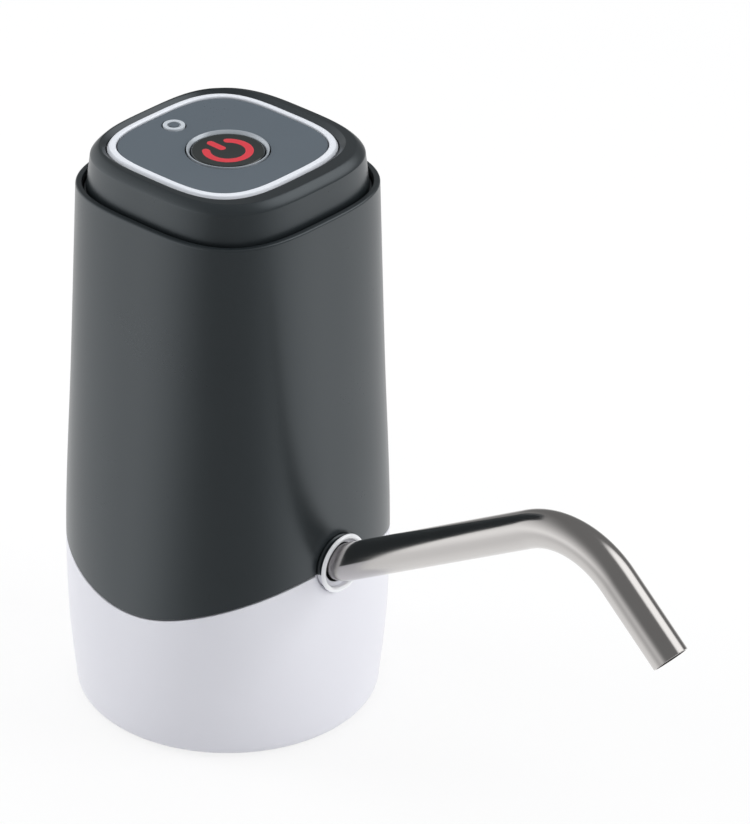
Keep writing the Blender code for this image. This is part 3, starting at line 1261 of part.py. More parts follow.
def make_frame_half(name, side):
    """One half of the frame: floor, rail, pump shelf and motor deck, closing at the middle plane."""
    rail_inner = PUMP_WIDTH / 2 + RAIL_CLEARANCE
    rail_outer = rail_inner + RAIL_THICKNESS
    rail_top = BOARD_BOTTOM - SEAT_GAP
    rail_bottom = FRAME_BOTTOM + FRAME_FLOOR / 2
    rail_middle = PUMP_X
    half_width = RAIL_WIDTH / 2
    seam = SEAT_GAP / 2

    def slab(label, x_low, x_high, y_low, y_high, low, high):
        near, far = sorted((side * y_low, side * y_high))
        return block(f"{name}_{label}", (x_low, near, low), (x_high, far, high))

    start = 0 if side > 0 else -math.pi
    floor_angle = math.asin(seam / FRAME_FLOOR_RADIUS)
    hole = NUT_RADIUS + 2 * SEAT_GAP
    hole_angle = math.asin(seam / hole)
    outline = []
    for radius, lean, order in ((FRAME_FLOOR_RADIUS, floor_angle, 1), (hole, hole_angle, -1)):
        steps = 16
        points = []
        for k in range(steps + 1):
            angle = start + lean + (math.pi - 2 * lean) * k / steps
            points.append((radius * math.cos(angle), radius * math.sin(angle)))
        outline += points[::order]
    loops = [[Vector((x, y, height)) for x, y in outline] for height in (FRAME_BOTTOM, FRAME_BOTTOM + FRAME_FLOOR)]
    frame = loft(name, loops, "natural_plastic", closed=False)
    x_low = rail_middle - half_width
    x_high = rail_middle + half_width
    add(frame, slab("rail", x_low, x_high, rail_inner, rail_outer, rail_bottom, rail_top))
    shelf_low = SHELF_TOP - SHELF_THICKNESS
    add(frame, slab("shelf", PUMP_X - PUMP_WIDTH / 2, PUMP_X + PUMP_WIDTH / 2, seam, rail_inner + RAIL_THICKNESS / 2,
                    shelf_low, SHELF_TOP))
    deck_top = MOTOR_TOP - DECK_DROP
    add(frame, slab("deck", PUMP_X - PUMP_WIDTH / 2, PUMP_X + PUMP_WIDTH / 2, seam, rail_inner + RAIL_THICKNESS / 2,
                    deck_top - DECK_THICKNESS, deck_top))
    hose_hole = HOSE_RADIUS + SEAT_GAP
    for port, port_x in (("inlet", PUMP_X - PORT_OFFSET), ("outlet", OUTLET_X)):
        cut(frame, rod(f"{name}_{port}_hole", hose_hole, shelf_low - CUT_OVERRUN, SHELF_TOP + CUT_OVERRUN,
                       None, 20, (port_x, 0, 0)))
    cut(frame, rod(f"{name}_motor_hole", MOTOR_RADIUS + SEAT_GAP, deck_top - DECK_THICKNESS - CUT_OVERRUN,
                   deck_top + CUT_OVERRUN, None, 28, (PUMP_X, 0, 0)))
    window_half = half_width * RAIL_WINDOW_WIDTH_SHARE
    for label, low, high in (
        ("lower_window", FRAME_BOTTOM + FRAME_FLOOR, shelf_low),
        ("upper_window", SHELF_TOP, deck_top - DECK_THICKNESS),
    ):
        middle = (low + high) / 2
        rise = (high - low) / 2 * RAIL_WINDOW_HEIGHT_SHARE
        window = slab(label, rail_middle - window_half, rail_middle + window_half, rail_inner - CUT_OVERRUN,
                      rail_outer + CUT_OVERRUN, middle - rise, middle + rise)
        cut(frame, window)
    return frame


# Spout

def arc_points(centre, radius, start, end, steps):
    """Points on an arc in the XZ plane."""
    points = []
    for k in range(steps + 1):
        angle = start + (end - start) * k / steps
        points.append((centre[0] + radius * math.cos(angle), 0, centre[1] + radius * math.sin(angle)))
    return points


def spout_route():
    """Centre line of the spout from its inner end, with the knee at the origin."""
    turn = SPOUT_RISE_ANGLE + SPOUT_FALL_ANGLE
    bend = SPOUT_BEND_RADIUS * math.tan(turn / 2)
    rise = Vector((math.cos(SPOUT_RISE_ANGLE), math.sin(SPOUT_RISE_ANGLE)))
    fall = Vector((math.cos(SPOUT_FALL_ANGLE), -math.sin(SPOUT_FALL_ANGLE)))
    corner = rise * SPOUT_ARM_LENGTH
    points = [(-SPOUT_KNEE_TRIM - SPOUT_INSERTION, 0, 0)]
    points += arc_points((-SPOUT_KNEE_TRIM, SPOUT_KNEE_RADIUS), SPOUT_KNEE_RADIUS, -math.pi / 2,
                         SPOUT_RISE_ANGLE - math.pi / 2, 3)
    start = corner - rise * bend
    centre = start + Vector((rise.y, -rise.x)) * SPOUT_BEND_RADIUS
    points += arc_points(centre, SPOUT_BEND_RADIUS, math.pi / 2 + SPOUT_RISE_ANGLE,
                         math.pi / 2 - SPOUT_FALL_ANGLE, 9)
    tip = corner + fall * SPOUT_TAIL_LENGTH
    points.append((tip.x, 0, tip.y))
    return points


def spout_reach():
    """Distance from the body axis to the outermost point of the spout."""
    tip = spout_route()[-1]
    return SPOUT_KNEE_REACH + tip[0] + SPOUT_RADIUS * math.sin(SPOUT_FALL_ANGLE)


def make_spout():
    """Bent steel tube, open at both ends."""
    route = [Vector(point) for point in spout_route()]
    spot = (SPOUT_KNEE_REACH, 0, SPOUT_HEIGHT)
    tube = swept("spout", route, SPOUT_RADIUS, "steel", resolution=8, location=spot)
    first = route[0] + (route[0] - route[1]).normalized() * CUT_OVERRUN
    last = route[-1] + (route[-1] - route[-2]).normalized() * CUT_OVERRUN
    bore = swept("spout_bore", [first] + route[1:-1] + [last], SPOUT_RADIUS - SPOUT_WALL, None, 4, spot)
    return cut(tube, bore)


def along_x(name, profile, look, steps=26):
    """Turned piece on the spout's swivel axis; heights become distances from the body axis."""
    return turned(name, profile, look, steps, (0, 0, SPOUT_HEIGHT), (0, math.pi / 2, 0))


def make_spout_socket():
    """White socket through the front face, with a flange outside and a barb for the outlet hose."""
    face = socket_seat() + SEAT_GAP
    mouth = body_half_width(SPOUT_HEIGHT) + SOCKET_FLANGE_PROUD
    edge = SOCKET_FLANGE_WIDTH / 3
    end = OUTLET_X - SOCKET_NECK_RADIUS
    bore = BARB_BORE_RADIUS
    profile = [
        (SOCKET_BORE_RADIUS, mouth - edge / 2),
        (SOCKET_BORE_RADIUS + edge, mouth),
        (SOCKET_FLANGE_RADIUS - edge, mouth),
        (SOCKET_FLANGE_RADIUS, mouth - edge),
        (SOCKET_FLANGE_RADIUS, face),
        (SOCKET_RADIUS, face),
        (SOCKET_RADIUS, SOCKET_BACK),
        (SOCKET_NECK_RADIUS, SOCKET_BACK),
        (SOCKET_NECK_RADIUS, end),
        (bore, end),
        (bore, SOCKET_BORE_END),
        (SOCKET_BORE_RADIUS, SOCKET_BORE_END),
    ]
    socket = along_x("spout_socket", profile, "white_plastic")
    plug = rod("socket_end_plug", SOCKET_NECK_RADIUS - SOCKET_END_WALL / 2, end, end + SOCKET_END_WALL, None, 20,
               (0, 0, SPOUT_HEIGHT), (0, math.pi / 2, 0))
    add(socket, plug)
    points = [(radius, -height) for radius, height in
              barb_profile(BARB_ROOT_RADIUS, BARB_RADIUS, SOCKET_BARB_LENGTH, 2)]
    profile = [(0, points[-1][1])] + points[::-1] + [(0, 0)]
    add(socket, turned("socket_barb", profile, None, 12, (OUTLET_X, 0, SOCKET_BARB_BOTTOM)))
    return cut(socket, rod("socket_barb_bore", bore, SPOUT_HEIGHT, SOCKET_BARB_TOP + CUT_OVERRUN, None, 10,
                           (OUTLET_X, 0, 0)))


def make_outlet_hose():
    """Short hose between the pump's outlet and the spout socket."""
    inner = BARB_RADIUS + SEAT_GAP
    top = PUMP_SEAT_HEIGHT - SEAT_GAP
    bottom = SPOUT_HEIGHT + SOCKET_NECK_RADIUS + SEAT_GAP
    profile = [(HOSE_RADIUS, top), (HOSE_RADIUS, bottom), (inner, bottom), (inner, top)]
    return turned("outlet_hose", profile, "silicone", 16, (OUTLET_X, 0, 0))


def make_spout_seal():
    """Rubber collar that grips the spout inside the socket."""
    low = SPOUT_INNER_END + SEAT_GAP
    high = body_half_width(SPOUT_HEIGHT) - SEAT_GAP
    length = high - low
    groove = SEAL_WALL / 3
    profile = [(SEAL_RADIUS - groove, high), (SEAL_RADIUS, high - groove)]
    groove_shares = (0.35, 0.65)
    for share in groove_shares:
        middle = high - length * share
        profile += [
            (SEAL_RADIUS, middle + groove * 2),
            (SEAL_RADIUS - groove, middle),
            (SEAL_RADIUS, middle - groove * 2),
        ]
    profile += [(SEAL_RADIUS, low), (SEAL_BORE_RADIUS, low), (SEAL_BORE_RADIUS, high)]
    return along_x("spout_seal", profile, "rubber", 20)


def make_socket_nut():
    """Nut inside the wall that clamps the socket against its flange."""
    corner = math.atan2(SOCKET_RADIUS + SOCKET_NUT_WIDTH, body_half_width(SPOUT_HEIGHT))
    wall = body_radius(corner, SPOUT_HEIGHT) - LEDGE_INSET - TONGUE_WALL
    high = wall * math.cos(corner) - SEAT_GAP
    low = high - SOCKET_NUT_THICKNESS
    turn = (0, math.pi / 2, 0)
    spot = (0, 0, SPOUT_HEIGHT)
    nut = rod("socket_nut", SOCKET_RADIUS + SOCKET_NUT_WIDTH, low, high, "natural_plastic", 6, spot, turn)
    return cut(nut, rod("socket_nut_bore", SOCKET_RADIUS + SEAT_GAP, low - CUT_OVERRUN, high + CUT_OVERRUN,
                        None, 32, spot, turn))


# Wires

def wire_route(foot, top):
    """Points of a wire that leaves both ends upright and eases across near the top."""
    start, end = Vector(foot), Vector(top)
    reach = min(end.z - start.z, 2 * TAB_LENGTH)
    knee = Vector((start.x, start.y, end.z - reach))
    points = [start] if knee.z > start.z else []
    steps = 6
    for k in range(steps + 1):
        share = k / steps
        ease = share * share * (3 - 2 * share)
        points.append(Vector((start.x, start.y + (end.y - start.y) * ease, knee.z + reach * share)))
    return points


def make_wires():
    """Leads from the battery tabs and the motor terminals up to the board."""
    board = BOARD_BOTTOM - SEAT_GAP
    plus_foot = BATTERY_TOP + TAB_THICKNESS + 2 * SEAT_GAP
    minus_foot = BATTERY_BOTTOM
    terminal = MOTOR_TOP + TERMINAL_HEIGHT + 2 * SEAT_GAP
    lean = TAB_LENGTH / 4
    side = minus_lead_offset()
    for name, x, start, end, foot, look in (
        ("battery_lead_plus", BATTERY_X, -lean, lean, plus_foot, "red_wire"),
        ("battery_lead_minus", BATTERY_X, side, side - lean, minus_foot, "black_wire"),
        ("motor_lead_plus", PUMP_X, TERMINAL_OFFSET, TERMINAL_OFFSET, terminal, "red_wire"),
        ("motor_lead_minus", PUMP_X, -TERMINAL_OFFSET, -TERMINAL_OFFSET, terminal, "black_wire"),
    ):
        swept(name, wire_route((x, start, foot), (x, end, board)), WIRE_RADIUS, look)


# Whole pump

def make_pump():
    """Build every piece, then move the body axis so the outline is centred on the origin."""
    base = make_base_housing()
    cut(base, socket_hole("base_spout_hole"))
    make_neck_liner()
    make_suction_fitting()
    make_fitting_nut()
    make_inlet_hose()
    make_upper_sleeve()
    make_top_cap()
    make_trim_ring()
    make_control_panel()
    make_button_bezel()
    make_power_button()
    make_status_light()
    make_control_board()
    make_push_switch()
    make_board_components()
    make_charging_port()
    make_battery()
    make_pump_cover()
    make_valve_plate()
    make_outlet_valve()
    make_diaphragm()
    make_swing_housing()
    make_wobble_plate()
    make_needle_pin()
    make_eccentric()
    make_motor_can()
    make_motor_inside()
    make_motor_end()
    make_frame_half("frame_left", 1)
    make_frame_half("frame_right", -1)
    make_spout()
    make_spout_socket()
    make_spout_seal()
    make_socket_nut()
    make_outlet_hose()
    make_wires()
    back = max(body_half_width(SLEEVE_TOP * k / AROUND) for k in range(AROUND + 1))
    BODY_AXIS.location.x = -(spout_reach() - back) / 2


make_pump()
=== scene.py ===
"""Dressed model of a bottled water pump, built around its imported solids.

The shell, the cap, the push button, the spout and the neck are modelled again with fine edges.
The working parts inside keep their solids, apart from the diaphragm. Every piece gets a finish of
its own.
All sizes are in metres. Heights are above the foot, and distances are from the body's upright axis.
"""

import logging
import math
from collections.abc import Callable, Iterable
from dataclasses import dataclass, field
from enum import Enum

import bmesh
import bpy
from mathutils import Matrix, Vector

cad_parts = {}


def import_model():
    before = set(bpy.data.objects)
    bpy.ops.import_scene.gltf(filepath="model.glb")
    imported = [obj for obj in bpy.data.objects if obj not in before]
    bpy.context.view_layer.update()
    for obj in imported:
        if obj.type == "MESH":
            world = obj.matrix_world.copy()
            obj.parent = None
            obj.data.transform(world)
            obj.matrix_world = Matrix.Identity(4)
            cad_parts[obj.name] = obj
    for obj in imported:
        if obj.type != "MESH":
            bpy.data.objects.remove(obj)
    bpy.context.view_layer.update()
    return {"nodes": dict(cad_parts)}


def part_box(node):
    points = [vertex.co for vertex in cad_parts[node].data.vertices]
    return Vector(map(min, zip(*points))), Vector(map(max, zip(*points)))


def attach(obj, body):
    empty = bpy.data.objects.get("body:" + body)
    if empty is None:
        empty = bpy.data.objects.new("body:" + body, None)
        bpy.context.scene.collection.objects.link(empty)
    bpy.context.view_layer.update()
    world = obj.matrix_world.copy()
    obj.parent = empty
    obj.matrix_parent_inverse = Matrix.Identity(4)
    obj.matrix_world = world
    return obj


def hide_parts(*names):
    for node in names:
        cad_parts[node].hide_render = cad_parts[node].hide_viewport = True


LOG = logging.getLogger("pump")

MM = 0.001
FULL_TURN = 2 * math.pi
MERGE_DISTANCE = 0.001 * MM
STEP_LAYER = "around"
STRAIGHT_LAYER = "straightened"
NOISE_MIDDLE = 0.5
RING_STEPS = 96

# Places and gaps that more than one sub-assembly keeps to

SEAT_GAP = 0.3 * MM
SPOUT_HEIGHT = 45.2 * MM
SPOUT_SEAT = 0.6 * MM
PORT_HEIGHT = 122.05 * MM
LIGHT_SETBACK = 16.5 * MM
PANEL_BOTTOM = 135.2 * MM
PANEL_EDGE = 137.34 * MM

Ring = Callable[[float], Vector]
Level = Callable[[float], float]
Line = Callable[[float], tuple[Vector, Vector]]
Colour = tuple[float, float, float]


# Shader building


class Socket:
    """An output of a node that takes part in sums; each sum adds a Math node."""

    def __init__(self, shader: "Shader", link: bpy.types.NodeSocket) -> None:
        """Wrap one output.

        Args:
            shader: The material or world that the output belongs to.
            link: The output itself.
        """
        self.shader = shader
        self.link = link

    def _math(self, operation: str, first: "Socket | float", second: "Socket | float") -> "Socket":
        """Add one Math node.

        Args:
            operation: Blender's name of the sum.
            first: The first value or output.
            second: The second value or output.

        Returns:
            The output of the new node.
        """
        made = self.shader.node("ShaderNodeMath", {"operation": operation}, {0: first, 1: second})
        return Socket(self.shader, made.outputs[0])

    def __add__(self, other: "Socket | float") -> "Socket":
        """Sum of this and another value."""
        return self._math("ADD", self, other)

    def __radd__(self, other: float) -> "Socket":
        """Sum of a number and this."""
        return self._math("ADD", other, self)

    def __sub__(self, other: "Socket | float") -> "Socket":
        """This less another value."""
        return self._math("SUBTRACT", self, other)

    def __rsub__(self, other: float) -> "Socket":
        """A number less this."""
        return self._math("SUBTRACT", other, self)

    def __mul__(self, other: "Socket | float") -> "Socket":
        """Product of this and another value."""
        return self._math("MULTIPLY", self, other)

    def __rmul__(self, other: float) -> "Socket":
        """Product of a number and this."""
        return self._math("MULTIPLY", other, self)

    def __gt__(self, other: "Socket | float") -> "Socket":
        """One where this is above another value, and zero elsewhere."""
        return self._math("GREATER_THAN", self, other)

    def at_most(self, limit: float) -> "Socket":
        """This, cut off at a highest value."""
        return self._math("MINIMUM", self, limit)

    def at_least(self, limit: float) -> "Socket":
        """This, cut off at a lowest value."""
        return self._math("MAXIMUM", self, limit)


class Shader:
    """The nodes of one material or world."""

    def __init__(self, tree: bpy.types.NodeTree) -> None:
        """Take hold of a node tree.

        Args:
            tree: The tree that the nodes go into.
        """
        self.tree = tree

    def node(
        self,
        kind: str,
        settings: dict[str, object] | None = None,
        inputs: dict[str | int, object] | None = None,
    ) -> bpy.types.Node:
        """Add a node.

        Args:
            kind: Blender's type name of the node.
            settings: Its own settings, set first.
            inputs: Values or outputs for its sockets, by name or number.

        Returns:
            The new node.
        """
        made = self.tree.nodes.new(kind)
        for key, value in (settings or {}).items():
            setattr(made, key, value)
        for key, value in (inputs or {}).items():
            self.feed(made.inputs[key], value)
        return made

    def feed(self, target: bpy.types.NodeSocket, value: object) -> None:
        """Give an input a value or an output to follow.

        Args:
            target: The input.
            value: A Socket or a plain value.
        """
        if isinstance(value, Socket):
            self.tree.links.new(value.link, target)
        else:
            target.default_value = value

    def output(self, made: bpy.types.Node, name: str | int = 0) -> Socket:
        """One output of a node, ready for sums."""
        return Socket(self, made.outputs[name])

    def object_place(self) -> Socket:
        """The place of a surface point on its own object."""
        return self.output(self.node("ShaderNodeTexCoord"), "Object")

    def stretched(self, place: Socket, scale: tuple[float, float, float]) -> Socket:
        """Scale a place along its three axes.

        Args:
            place: The place to scale.
            scale: The factors along X, Y and Z.

        Returns:
            The scaled place.
        """
        made = self.node("ShaderNodeMapping", None, {"Vector": place, "Scale": scale})
        return self.output(made)

    def noise(self, place: Socket, scale: float, detail: float = 2.0) -> Socket:
        """Soft noise from 0 to 1.

        Args:
            place: Where the noise is read.
            scale: Waves to the metre.
            detail: How many finer waves lie on the first.

        Returns:
            The strength of the noise.
        """
        inputs = {"Vector": place, "Scale": scale, "Detail": detail}
        return self.output(self.node("ShaderNodeTexNoise", None, inputs))

    def cells(self, place: Socket, scale: float) -> Socket:
        """Distance to the nearest of many scattered points, from 0 up."""
        return self.output(self.node("ShaderNodeTexVoronoi", None, {"Vector": place, "Scale": scale}))

    def along(self, way: Socket, direction: tuple[float, float, float]) -> Socket:
        """How far a direction points along another one, from -1 to 1."""
        made = self.node("ShaderNodeVectorMath", {"operation": "DOT_PRODUCT"}, {0: way, 1: direction})
        return self.output(made, "Value")

    def eased(self, value: Socket, span: tuple[float, float], ends: tuple[float, float]) -> Socket:
        """Turn one range into another with a soft start and end.

        Args:
            value: What is followed.
            span: Where the change starts and ends.
            ends: The results before and after it.

        Returns:
            The eased value.
        """
        inputs = {
            "Value": value,
            "From Min": span[0],
            "From Max": span[1],
            "To Min": ends[0],
            "To Max": ends[1],
        }
        made = self.node("ShaderNodeMapRange", {"interpolation_type": "SMOOTHSTEP"}, inputs)
        return self.output(made)

    def mixed(self, share: Socket | float, first: Colour, second: Colour) -> Socket:
        """Mix two colours.

        Args:
            share: How much of the second colour there is.
            first: The first colour.
            second: The second colour.

        Returns:
            The mixed colour.
        """
        # A colour mix has its colours at inputs 6 and 7, and its result at output 2.
        sockets = {0: share, 6: (*first, 1), 7: (*second, 1)}
        made = self.node("ShaderNodeMix", {"data_type": "RGBA"}, sockets)
        return self.output(made, 2)

    def relief(self, height: Socket, depth: float) -> Socket:
        """Turn a pattern into relief.

        Args:
            height: The pattern, from 0 to 1.
            depth: How deep the relief is.

        Returns:
            The surface direction with the relief in it.
        """
        inputs = {"Height": height, "Distance": depth, "Strength": 1.0}
        return self.output(self.node("ShaderNodeBump", None, inputs))


# Finishes


class Look(Enum):
    """The finishes of the pump, by the names of the record's material slots."""

    WHITE_PLASTIC = "white_plastic"
    DARK_PLASTIC = "dark_plastic"
    BUTTON_GLOSS = "button_gloss"
    PANEL_GREY = "panel_grey"
    SILVER_TRIM = "silver_trim"
    STAINLESS_STEEL = "stainless_steel"
    STEEL_PIN = "steel_pin"
    BLACK_RUBBER = "black_rubber"
    SILICONE = "silicone"
    NATURAL_PLASTIC = "natural_plastic"
    BOARD = "board"
    COMPONENT_BLACK = "component_black"
    NICKEL = "nickel"
    COPPER = "copper"
    FERRITE = "ferrite"
    BATTERY_WRAP = "battery_wrap"
    LIGHT_LENS = "light_lens"
    RED_WIRE = "red_wire"
    BLACK_WIRE = "black_wire"


def tinted(colour: Colour, factor: float) -> Colour:
    """A colour made lighter or darker, held within 0 and 1."""
    return tuple(min(1.0, part * factor) for part in colour)


@dataclass(frozen=True)
class Finish:
    """A moulded surface: a colour that drifts a little, a gloss that varies and a fine grain."""

    colour: Colour
    roughness: float = 0.42
    drift: float = 0.05
    drift_scale: float = 45.0
    roughness_drift: float = 0.08
    grain_scale: float = 2600.0
    grain_depth: float = 0.003 * MM
    metallic: float = 0.0
    specular: float = 0.5
    specular_tint: Colour = (1.0, 1.0, 1.0)
    coat: float = 0.0
    coat_roughness: float = 0.1
    broad_detail: float = 3.0
    fine_detail: float = 4.0
    grain_share: float = 0.3

    def material(self, name: str) -> bpy.types.Material:
        """Make the material of this finish.

        Args:
            name: The material's name.

        Returns:
            The new material.
        """
        material = bpy.data.materials.new(name)
        material.use_nodes = True
        shader = Shader(material.node_tree)
        surface = material.node_tree.nodes["Principled BSDF"]
        surface.inputs["Metallic"].default_value = self.metallic
        surface.inputs["Specular IOR Level"].default_value = self.specular
        surface.inputs["Specular Tint"].default_value = (*self.specular_tint, 1)
        surface.inputs["Coat Weight"].default_value = self.coat
        surface.inputs["Coat Roughness"].default_value = self.coat_roughness
        self.paint(shader, surface)
        return material

    def paint(self, shader: Shader, surface: bpy.types.Node) -> None:
        """Feed the colour, the roughness and the relief of the surface.

        Args:
            shader: The material's nodes.
            surface: Its surface node.
        """
        place = shader.object_place()
        patches = shader.noise(place, self.drift_scale, self.broad_detail)
        grain = shader.noise(place, self.grain_scale, self.fine_detail)
        shader.feed(surface.inputs["Base Color"], self.shaded(shader, patches, grain))
        broad = self.roughness_drift * (patches - NOISE_MIDDLE)
        gloss = self.roughness + broad + self.roughness_drift * (grain - NOISE_MIDDLE)
        shader.feed(surface.inputs["Roughness"], gloss)
        shader.feed(surface.inputs["Normal"], shader.relief(grain, self.grain_depth))

    def shaded(self, shader: Shader, patches: Socket, grain: Socket) -> Socket:
        """The colour as it drifts over the surface.

        Args:
            shader: The material's nodes.
            patches: A broad pattern.
            grain: A fine pattern.

        Returns:
            The colour.
        """
        share = (1 - self.grain_share) * patches + self.grain_share * grain
        darker = tinted(self.colour, 1 - self.drift)
        lighter = tinted(self.colour, 1 + self.drift)
        return shader.mixed(share, darker, lighter)


@dataclass(frozen=True)
class DrawnMetal(Finish):
    """Metal with fine lines along its length and soft smears across them."""

    lines: tuple[float, float, float] = (60.0, 5200.0, 5200.0)
    line_share: float = 0.5
    smear_scale: float = 90.0
    least_roughness: float = 0.02
    follows_tube: bool = False

    def paint(self, shader: Shader, surface: bpy.types.Node) -> None:
        """Feed the colour, the roughness and the relief of the metal.

        Args:
            shader: The material's nodes.
            surface: Its surface node.
        """
        place = shader.object_place()
        if self.follows_tube:
            read = shader.node("ShaderNodeAttribute", {"attribute_name": STRAIGHT_LAYER})
            place = shader.output(read, "Vector")
        lines = shader.noise(shader.stretched(place, self.lines), 1.0, self.broad_detail)
        smears = shader.noise(place, self.smear_scale, self.fine_detail)
        shader.feed(surface.inputs["Base Color"], self.shaded(shader, smears, lines))
        broad = self.roughness_drift * (smears - NOISE_MIDDLE)
        gloss = self.roughness + broad + self.line_share * self.roughness_drift * (lines - NOISE_MIDDLE)
        shader.feed(surface.inputs["Roughness"], gloss.at_least(self.least_roughness))
        shader.feed(surface.inputs["Normal"], shader.relief(lines, self.grain_depth))


@dataclass(frozen=True)
class SoftRubber(Finish):
    """Rubber or silicone: mottled, with a bloom of dust in its fine pits."""

    dust: Colour = (0.5, 0.5, 0.5)
    dust_share: float = 0.15
    pit_strength: float = 2.0

    def shaded(self, shader: Shader, patches: Socket, grain: Socket) -> Socket:
        """The colour, with dust where the pits are.

        Args:
            shader: The material's nodes.
            patches: A broad pattern.
            grain: A fine pattern.

        Returns:
            The colour.
        """
        share = self.dust_share * patches * grain * self.pit_strength
        return shader.mixed(share, self.colour, self.dust)


@dataclass(frozen=True)
class SolderMask(Finish):
    """Circuit board: green mask over copper runs that lie a little proud."""

    run_scale: float = 260.0
    run_width: float = 0.22
    run_share: float = 0.75
    run_tint: float = 1.7

    def shaded(self, shader: Shader, patches: Socket, grain: Socket) -> Socket:
        """The mask's colour, lighter where a copper run lies under it.

        Args:
            shader: The material's nodes.
            patches: A broad pattern; not used here.
            grain: A fine pattern.

        Returns:
            The colour.
        """
        runs = shader.cells(shader.object_place(), self.run_scale) > self.run_width
        share = self.run_share * runs + (1 - self.run_share) * grain
        return shader.mixed(share, tinted(self.colour, self.run_tint), self.colour)


@dataclass(frozen=True)
class GlowFinish(Finish):
    """A finish that glows in its own colour, so that it holds that colour in shade: on the power mark this
    is painted light, as no lamp lies under the button.
    """

    glow: float = 0.3
    glow_drift: float = 0.1
    glow_fineness: float = 4.0

    def paint(self, shader: Shader, surface: bpy.types.Node) -> None:
        """Feed the surface, and the glow with the same colour.

        Args:
            shader: The material's nodes.
            surface: Its surface node.
        """
        super().paint(shader, surface)
        scale = self.drift_scale * self.glow_fineness
        patches = shader.noise(shader.object_place(), scale, self.broad_detail)
        dim = tinted(self.colour, 1 - self.glow_drift)
        bright = tinted(self.colour, 1 + self.glow_drift)
        glow = shader.mixed(patches, dim, bright)
        shader.feed(surface.inputs["Emission Color"], glow)
        surface.inputs["Emission Strength"].default_value = self.glow


def bright_trim(colour: Colour, roughness: float, metallic: float) -> Finish:
    """A bright trim whose colour and gloss hardly vary.

    Args:
        colour: Its colour.
        roughness: How rough it is, from 0 for a mirror to 1.
        metallic: How far it shines as metal does, from 0 to 1.

    Returns:
        The finish.
    """
    return Finish(
        colour,
        roughness,
        drift=0.02,
        roughness_drift=0.03,
        metallic=metallic,
        grain_depth=0.0002 * MM,
    )


FINISHES: dict[Look, Finish] = {
    Look.WHITE_PLASTIC: Finish((0.76, 0.76, 0.81), 0.38, 0.025, grain_depth=0.002 * MM),
    Look.DARK_PLASTIC: Finish(
        (0.015, 0.019, 0.021),
        0.3,
        0.08,
        specular=0.95,
        specular_tint=(0.86, 0.94, 1.0),
        grain_depth=0.002 * MM,
    ),
    Look.BUTTON_GLOSS: Finish((0.012, 0.016, 0.016), 0.14, 0.1, grain_depth=0.0006 * MM, coat=0.6),
    Look.PANEL_GREY: Finish((0.095, 0.118, 0.14), 0.3, 0.06, specular=0.6, grain_depth=0.001 * MM),
    Look.SILVER_TRIM: bright_trim((0.80, 0.83, 0.88), 0.3, 0.1),
    Look.STAINLESS_STEEL: DrawnMetal(
        (0.57, 0.552, 0.54),
        0.17,
        0.04,
        roughness_drift=0.07,
        metallic=1.0,
        grain_depth=0.0008 * MM,
        follows_tube=True,
    ),
    Look.STEEL_PIN: DrawnMetal((0.6, 0.6, 0.6), 0.25, 0.05, metallic=1.0, grain_depth=0.0008 * MM),
    Look.BLACK_RUBBER: SoftRubber((0.018, 0.018, 0.019), 0.7, 0.1, dust=(0.12, 0.12, 0.12)),
    Look.SILICONE: SoftRubber((0.62, 0.64, 0.66), 0.45, 0.05, dust=(0.8, 0.8, 0.78), coat=0.2),
    Look.NATURAL_PLASTIC: Finish((0.6, 0.59, 0.55), 0.45, 0.05),
    Look.BOARD: SolderMask((0.012, 0.09, 0.035), 0.35, 0.1, coat=0.3),
    Look.COMPONENT_BLACK: Finish((0.02, 0.02, 0.022), 0.55, 0.12, grain_scale=4200.0),
    Look.NICKEL: DrawnMetal((0.62, 0.6, 0.56), 0.22, 0.05, metallic=1.0, grain_depth=0.001 * MM),
    Look.COPPER: DrawnMetal((0.72, 0.32, 0.16), 0.3, 0.12, metallic=1.0, lines=(900.0, 900.0, 4200.0)),
    Look.FERRITE: Finish((0.045, 0.045, 0.05), 0.62, 0.15, grain_scale=3500.0, grain_depth=0.01 * MM),
    Look.BATTERY_WRAP: Finish((0.02, 0.16, 0.42), 0.3, 0.05, coat=0.5),
    Look.LIGHT_LENS: GlowFinish((0.5, 0.54, 0.58), 0.22, 0.04, glow=0.04),
    Look.RED_WIRE: Finish((0.5, 0.02, 0.02), 0.4, 0.08),
    Look.BLACK_WIRE: Finish((0.015, 0.015, 0.015), 0.4, 0.1),
}
# The power mark's red ink with a painted glow: no lamp lies under the button.
MARK_INK_PAINTED_GLOW = GlowFinish((0.54, 0.035, 0.05), 0.35, 0.06, glow=0.14)
RIM_METAL = bright_trim((0.9, 0.91, 0.93), 0.2, 0.12)
BEZEL_METAL = bright_trim((0.46, 0.5, 0.54), 0.25, 0.3)
# The tube's bore: rough steel with a warm tint, painted near black as painted shade for the inside of the
# tube.
TUBE_INSIDE = Finish((0.07, 0.06, 0.055), 0.55, 0.15, metallic=0.5, grain_depth=0.004 * MM)


class FinishShelf:
    """Keeps one material of each finish, made when it is first asked for."""

    def __init__(self) -> None:
        """Start with an empty shelf."""
        self.made: dict[str, bpy.types.Material] = {}

    def take(self, name: str, finish: Finish) -> bpy.types.Material:
        """The material of a finish.

        Args:
            name: The name it is kept under.
            finish: What it is made of.

        Returns:
            The material, the same one each time.
        """
        if name not in self.made:
            self.made[name] = finish.material(name)
        return self.made[name]

    def dress(self, piece: bpy.types.Object, look: Look) -> None:
        """Give a piece the finish of one of the record's slots, and nothing else."""
        piece.data.materials.clear()
        piece.data.materials.append(self.take(look.value, FINISHES[look]))


# Outlines


